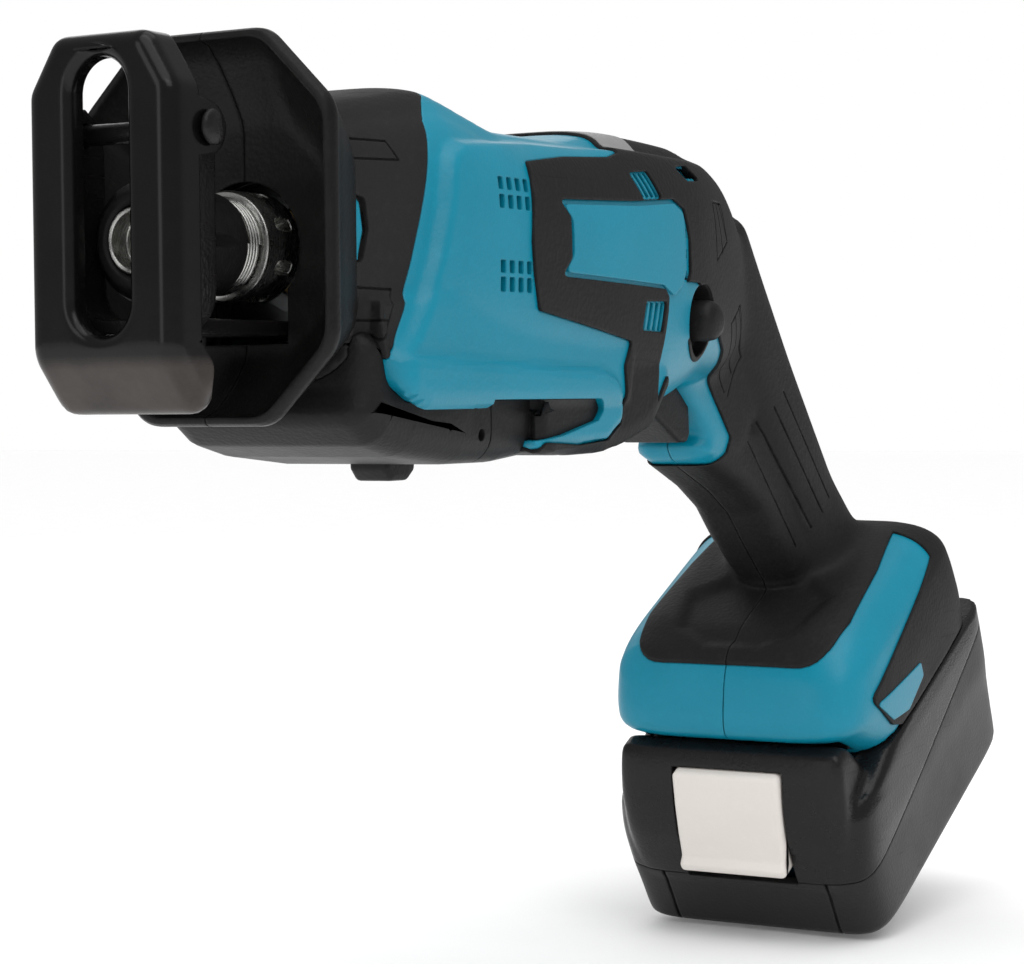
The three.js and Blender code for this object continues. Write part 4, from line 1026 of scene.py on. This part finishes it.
def holder():
    tube = spin([(-38, 8), (-13.3, 8), (-13.1, 6.4), (-10.9, 6.4), (-10.6, 6.1), (-10.8, 5.5), (-15, 5.3)], sides=72)
    collar = spin([(-50, 9.5), (-49.4, 10.7), (-48.6, 11), (-39.4, 11), (-38.5, 10.6), (-38, 9.6)], sides=72)
    body = joined(tube, collar, spin([(-39, 7), (-15, 7)]))
    body = csg(body, ("-", spin([(-26, 4.9), (-13, 5.1), (-9, 5.5)])), ("-", box(-34, 5, -0.8, 0.8, -6.2, 6.2)),
               ("-", spin([(2, 1.8), (20, 1.8)], (-24, 0), "y", 24)))
    jaws = csg(spin([(-27, 5.3), (-20.5, 5.3), (-20, 4.9)], sides=40), ("-", box(-40, 5, -0.9, 0.9, -9, 9)))
    body = joined(body, jaws)
    for i in range(8):
        a = (i + 0.5) * math.pi / 4
        hole = prism(rounded([(-46.6, -1.5), (-41.4, -1.5), (-41.4, 1.5), (-46.6, 1.5)], 1.4), 7.5, 20)
        co = coords(hole)
        y, z = co[:, 1] * math.cos(a) - co[:, 2] * math.sin(a), co[:, 1] * math.sin(a) + co[:, 2] * math.cos(a)
        body = csg(body, ("-", put(hole, np.stack([co[:, 0], y, z], 1))))
    return body


make(holder(), "blade_clamp", "plunger", STEEL, "blade_holder")


def coil():
    turns, n, sides = 4, 60, 10
    rings = []
    for k in range(turns * n + 1):
        a = 2 * math.pi * k / n
        c = np.array((-37.4 + 3.6 * k / (turns * n), 9.3 * math.cos(a), 9.3 * math.sin(a)))
        u, v = np.array((0, math.cos(a), math.sin(a))), np.array((1.0, 0, 0))
        rings.append([c + 0.42 * (u * math.cos(q) + v * math.sin(q)) for q in 2 * math.pi * np.arange(sides) / sides])
    return loft(rings)


make(coil(), "clamp_coil", "plunger", STEEL, "clamp_spring")

# ------------------------------------------------------------ controls
TRIGGER = [(-196, -24), (-197.5, -30), (-203, -34), (-218, -41.6), (-222, -41.6), (-223.5, -39.5), (-222, -23),
           (-208.5, -23)]


def trigger():
    body = prism(rounded(TRIGGER, [0.6, 3, 3, 2, 1.2, 1.5, 0.5, 0.5], 5), -8.4, 8.4, 0.9, 4)
    return relaxed(remeshed(body, 0.4), 2)


make(trigger(), "trigger_paddle", "trigger", BLACK, "trigger")


def lock_off():
    half_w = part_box("lock_off_button")[1].y / MM
    end = half_w + 0.6
    body = spin([(-end, 2.4), (-end + 0.5, 3.7), (-end + 1.6, 4.6), (-end + 3, 4.9), (end - 3, 4.9), (end - 1.6, 4.6),
                 (end - 0.5, 3.7), (end, 2.4)], LOCK_OFF, "y", 56)
    return csg(body, ("-", box(LOCK_OFF[0] - 9, LOCK_OFF[0] + 9, -4, 4, LOCK_OFF[1] - 9, LOCK_OFF[1] - 2)))


make(lock_off(), "lock_off_knob", "lock_off", BLACK, "lock_off_button")


def well_cup():
    return csg(spin([(19.5, 9.6), (27, 9.9)], LOCK_OFF, "y"), ("-", spin([(20.8, 8.4), (40, 9.2)], LOCK_OFF, "y")),
               ("-", spin([(10, 5.5), (40, 5.5)], LOCK_OFF, "y")), ("&", moved_out(form, 0.3)))


cup = well_cup()
make_pair(cup, mirrored(cup), "lock_off_cup", GRIP)


def plate():
    """The raised teal panel on the side, left without any wording."""
    outline = [(-120.2, 11.6), (-154, 13.1), (-175.6, 14.9), (-180.6, 13), (-181, 8), (-181, -1), (-178.6, -4.2),
               (-174, -6.6), (-168, -4.3), (-120.2, -3.0), (-124, 0.6), (-124, 8.4)]
    return csg(prism(rounded(outline, [1, 1, 2, 2, 1, 1, 2, 2, 1, 1, 2, 2], 3), 15, WIDE),
               ("&", moved_out(form, 0.75)), ("-", moved_out(form, -0.4)))


panel = plate()
make_pair(panel, mirrored(panel), "side_panel", TEAL)

top_patch = csg(prism([(-157.5, 20), (-157.5, 60), (-173.5, 60), (-173.5, 20)], -20, 20), ("&", moved_out(form, 0.9)),
                ("-", moved_out(form, 0.1)))
make(top_patch, "top_patch", "body", GREY)


# ------------------------------------------------------------ foot badge and battery
badge = csg(band(rounded([(-23.0, 61.4), (-53.2, 55.7), (-53.8, 51.2), (-41.4, 48.2), (-31.2, 51.4)], 1.0), 20, WIDE),
            ("&", moved_out(form, 0.95)), ("-", moved_out(form, -0.4)))
make_pair(badge, mirrored(badge), "foot_badge", TEAL, "badge")

SEAM_FRONT, SEAM_REAR = 20, 40  # height of the seam between the cases at the battery's front, and 100 behind it
BUTTON_HALF = 15.8


def over_seam(shift):
    slope = (SEAM_REAR - SEAM_FRONT) / 100
    return band([(40, SEAM_FRONT - 40 * slope + shift), (60, 140), (-150, 140),
                 (-150, SEAM_REAR + 50 * slope + shift)], -WIDE, WIDE)


def battery_case():
    """Both cases, the head and the rails as one smooth skin."""
    rail = band([(-19, 40), (-19, 55.4), (-100, 55.4), (-100, 40)], -29.3, 29.3)
    whole = joined(battery_loft(PACK, 0, 11, 1.5), battery_loft(SHELF, 0, 11, 1.0), battery_loft(HEAD, 0, 8, 1.0), rail)
    return relaxed(remeshed(whole, 0.8), 6)


case = battery_case()
inner = joined(battery_loft(PACK, 2.4, 11, 4), band([(-20, 40), (-20, 53), (-98, 53), (-98, 40)], -27, 27))
RAIL_GROOVE = [(-19, 45.6), (-200, 45.6), (-200, 49.4), (-19, 49.4)]
contacts = band([(-58, 50), (-120, 50), (-120, 60), (-58, 60)], -14, 14)
well = band(rounded([(40, 19), (-7.4, 19), (-7.4, 51.4), (40, 51.4)], 0.6), -BUTTON_HALF - 0.5, BUTTON_HALF + 0.5)
case = csg(case, ("-", inner), ("-", band(RAIL_GROOVE, 26.3, WIDE)), ("-", band(RAIL_GROOVE, -WIDE, -26.3)),
           ("-", well))
back_wall = band([(-9.6, 17.6), (-7.5, 17.6), (-7.5, 53), (-9.6, 53)], -17.5, 17.5)
upper = csg(case, ("&", over_seam(0.2)), ("-", contacts))
lower = csg(case, ("-", over_seam(-0.15)))
skin_floor = battery_loft(PACK, 0.8, 11, 4)
for y in (24.2, -24.2):
    groove = band([(40, -5), (-5.5, -5), (-5.5, 28.5), (40, 28.5)], y - 0.45, y + 0.45)
    lower = csg(lower, ("-", csg(groove, ("-", skin_floor))))
make(upper, "battery_top", "battery", GLOSS, "battery_upper_case")
make(lower, "battery_base_case", "battery", CASE, "battery_lower_case")
make(back_wall, "button_back", "battery", GLOSS)


def button():
    face = [(6.6, 24), (6.6, 26.4), (4.6, 27.8), (3.6, 34), (1.8, 42), (-0.9, 51), (-6.8, 51), (-6.8, 24)]
    body = in_battery(prism(rounded(face, [1.0, 1.0, 1.0, 4, 4, 2.0, 1, 1], 4), -BUTTON_HALF, BUTTON_HALF, 1.6, 5))
    corners = [(-BUTTON_HALF, 23.9), (BUTTON_HALF, 23.9), (BUTTON_HALF, 51.1), (-BUTTON_HALF, 51.1)]
    rim = loft([[(x, y, z) for y, z in rounded(corners, [0.8, 0.8, 2.6, 2.6], 6)] for x in (-12, 14)])
    return csg(body, ("&", in_battery(rim)))


make(button(), "battery_button", "battery_release", CREAM, "battery_release_button")

# ------------------------------------------------------------ floor, light and camera
low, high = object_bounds()
middle = (low + high) / 2

floor_mesh = build([(-6, -6, -0.001), (6, -6, -0.001), (6, 6, -0.001), (-6, 6, -0.001)], [(0, 1, 2, 3)], "floor")
floor = obj_of(floor_mesh, "floor")
floor_look = Nodes("floor")
paper = floor_look.noise(30, 3, 0.5)
floor_look.link(floor_look.mix(paper, (0.86, 0.86, 0.86), (0.90, 0.90, 0.90)), floor_look.bsdf.inputs["Base Color"])
floor_look.bsdf.inputs["Roughness"].default_value = 0.7
floor_mesh.materials.append(floor_look.m)
floor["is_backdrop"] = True

world = bpy.data.worlds.new("studio")
bpy.context.scene.world = world
world.use_nodes = True
sky = world.node_tree
paths = sky.nodes.new("ShaderNodeLightPath")
level = sky.nodes.new("ShaderNodeMapRange")
sky.links.new(paths.outputs["Is Glossy Ray"], level.inputs["Value"])
level.inputs["To Min"].default_value, level.inputs["To Max"].default_value = 1.0, 0.34
sky.nodes["Background"].inputs[0].default_value = (1.0, 1.0, 1.0, 1)
sky.links.new(level.outputs[0], sky.nodes["Background"].inputs[1])
bpy.context.scene.view_settings.view_transform = "Standard"
bpy.context.scene.view_settings.look = "None"


def lamp(name, at, size, power):
    data = bpy.data.lights.new(name, "AREA")
    data.shape, data.size, data.size_y, data.energy = "RECTANGLE", size[0], size[1], power
    o = bpy.data.objects.new(name, data)
    bpy.context.scene.collection.objects.link(o)
    o.location = at
    o.rotation_mode = "QUATERNION"
    o.rotation_quaternion = (middle - Vector(at)).to_track_quat("-Z", "Y")


sun = bpy.data.lights.new("sun", "SUN")
sun.energy, sun.angle = 0.85, math.radians(50)
sun_at = bpy.data.objects.new("sun", sun)
sun_at.rotation_euler = (math.radians(-18), math.radians(22), 0)
bpy.context.scene.collection.objects.link(sun_at)
lamp("key", (0.75, 0.95, 0.95), (0.7, 0.5), 2.2)
lamp("top", (-0.05, 0.15, 1.2), (1.0, 0.7), 2.0)
lamp("front", (1.3, -0.25, 0.55), (0.4, 0.9), 1.8)
lamp("back", (-0.9, -0.8, 0.8), (0.8, 0.8), 2.0)

data = bpy.data.cameras.new("camera")
camera = bpy.data.objects.new("camera", data)
bpy.context.scene.collection.objects.link(camera)
data.sensor_width, data.lens, data.clip_start, data.clip_end = 36.0, 94.92, 0.01, 50
right, up = Vector((-0.50599, 0.86248, -0.01023)), Vector((-0.03179, -0.00680, 0.99947))
forward = Vector((-0.86196, -0.50604, -0.03086))
turn = Matrix((right, up, -forward)).transposed()
camera.rotation_mode = "QUATERNION"
camera.rotation_quaternion = turn.to_quaternion()
camera.location = ORIGIN + Vector((387.69, 314.72, -30.14)) * MM
bpy.context.scene.camera = camera

low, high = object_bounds()
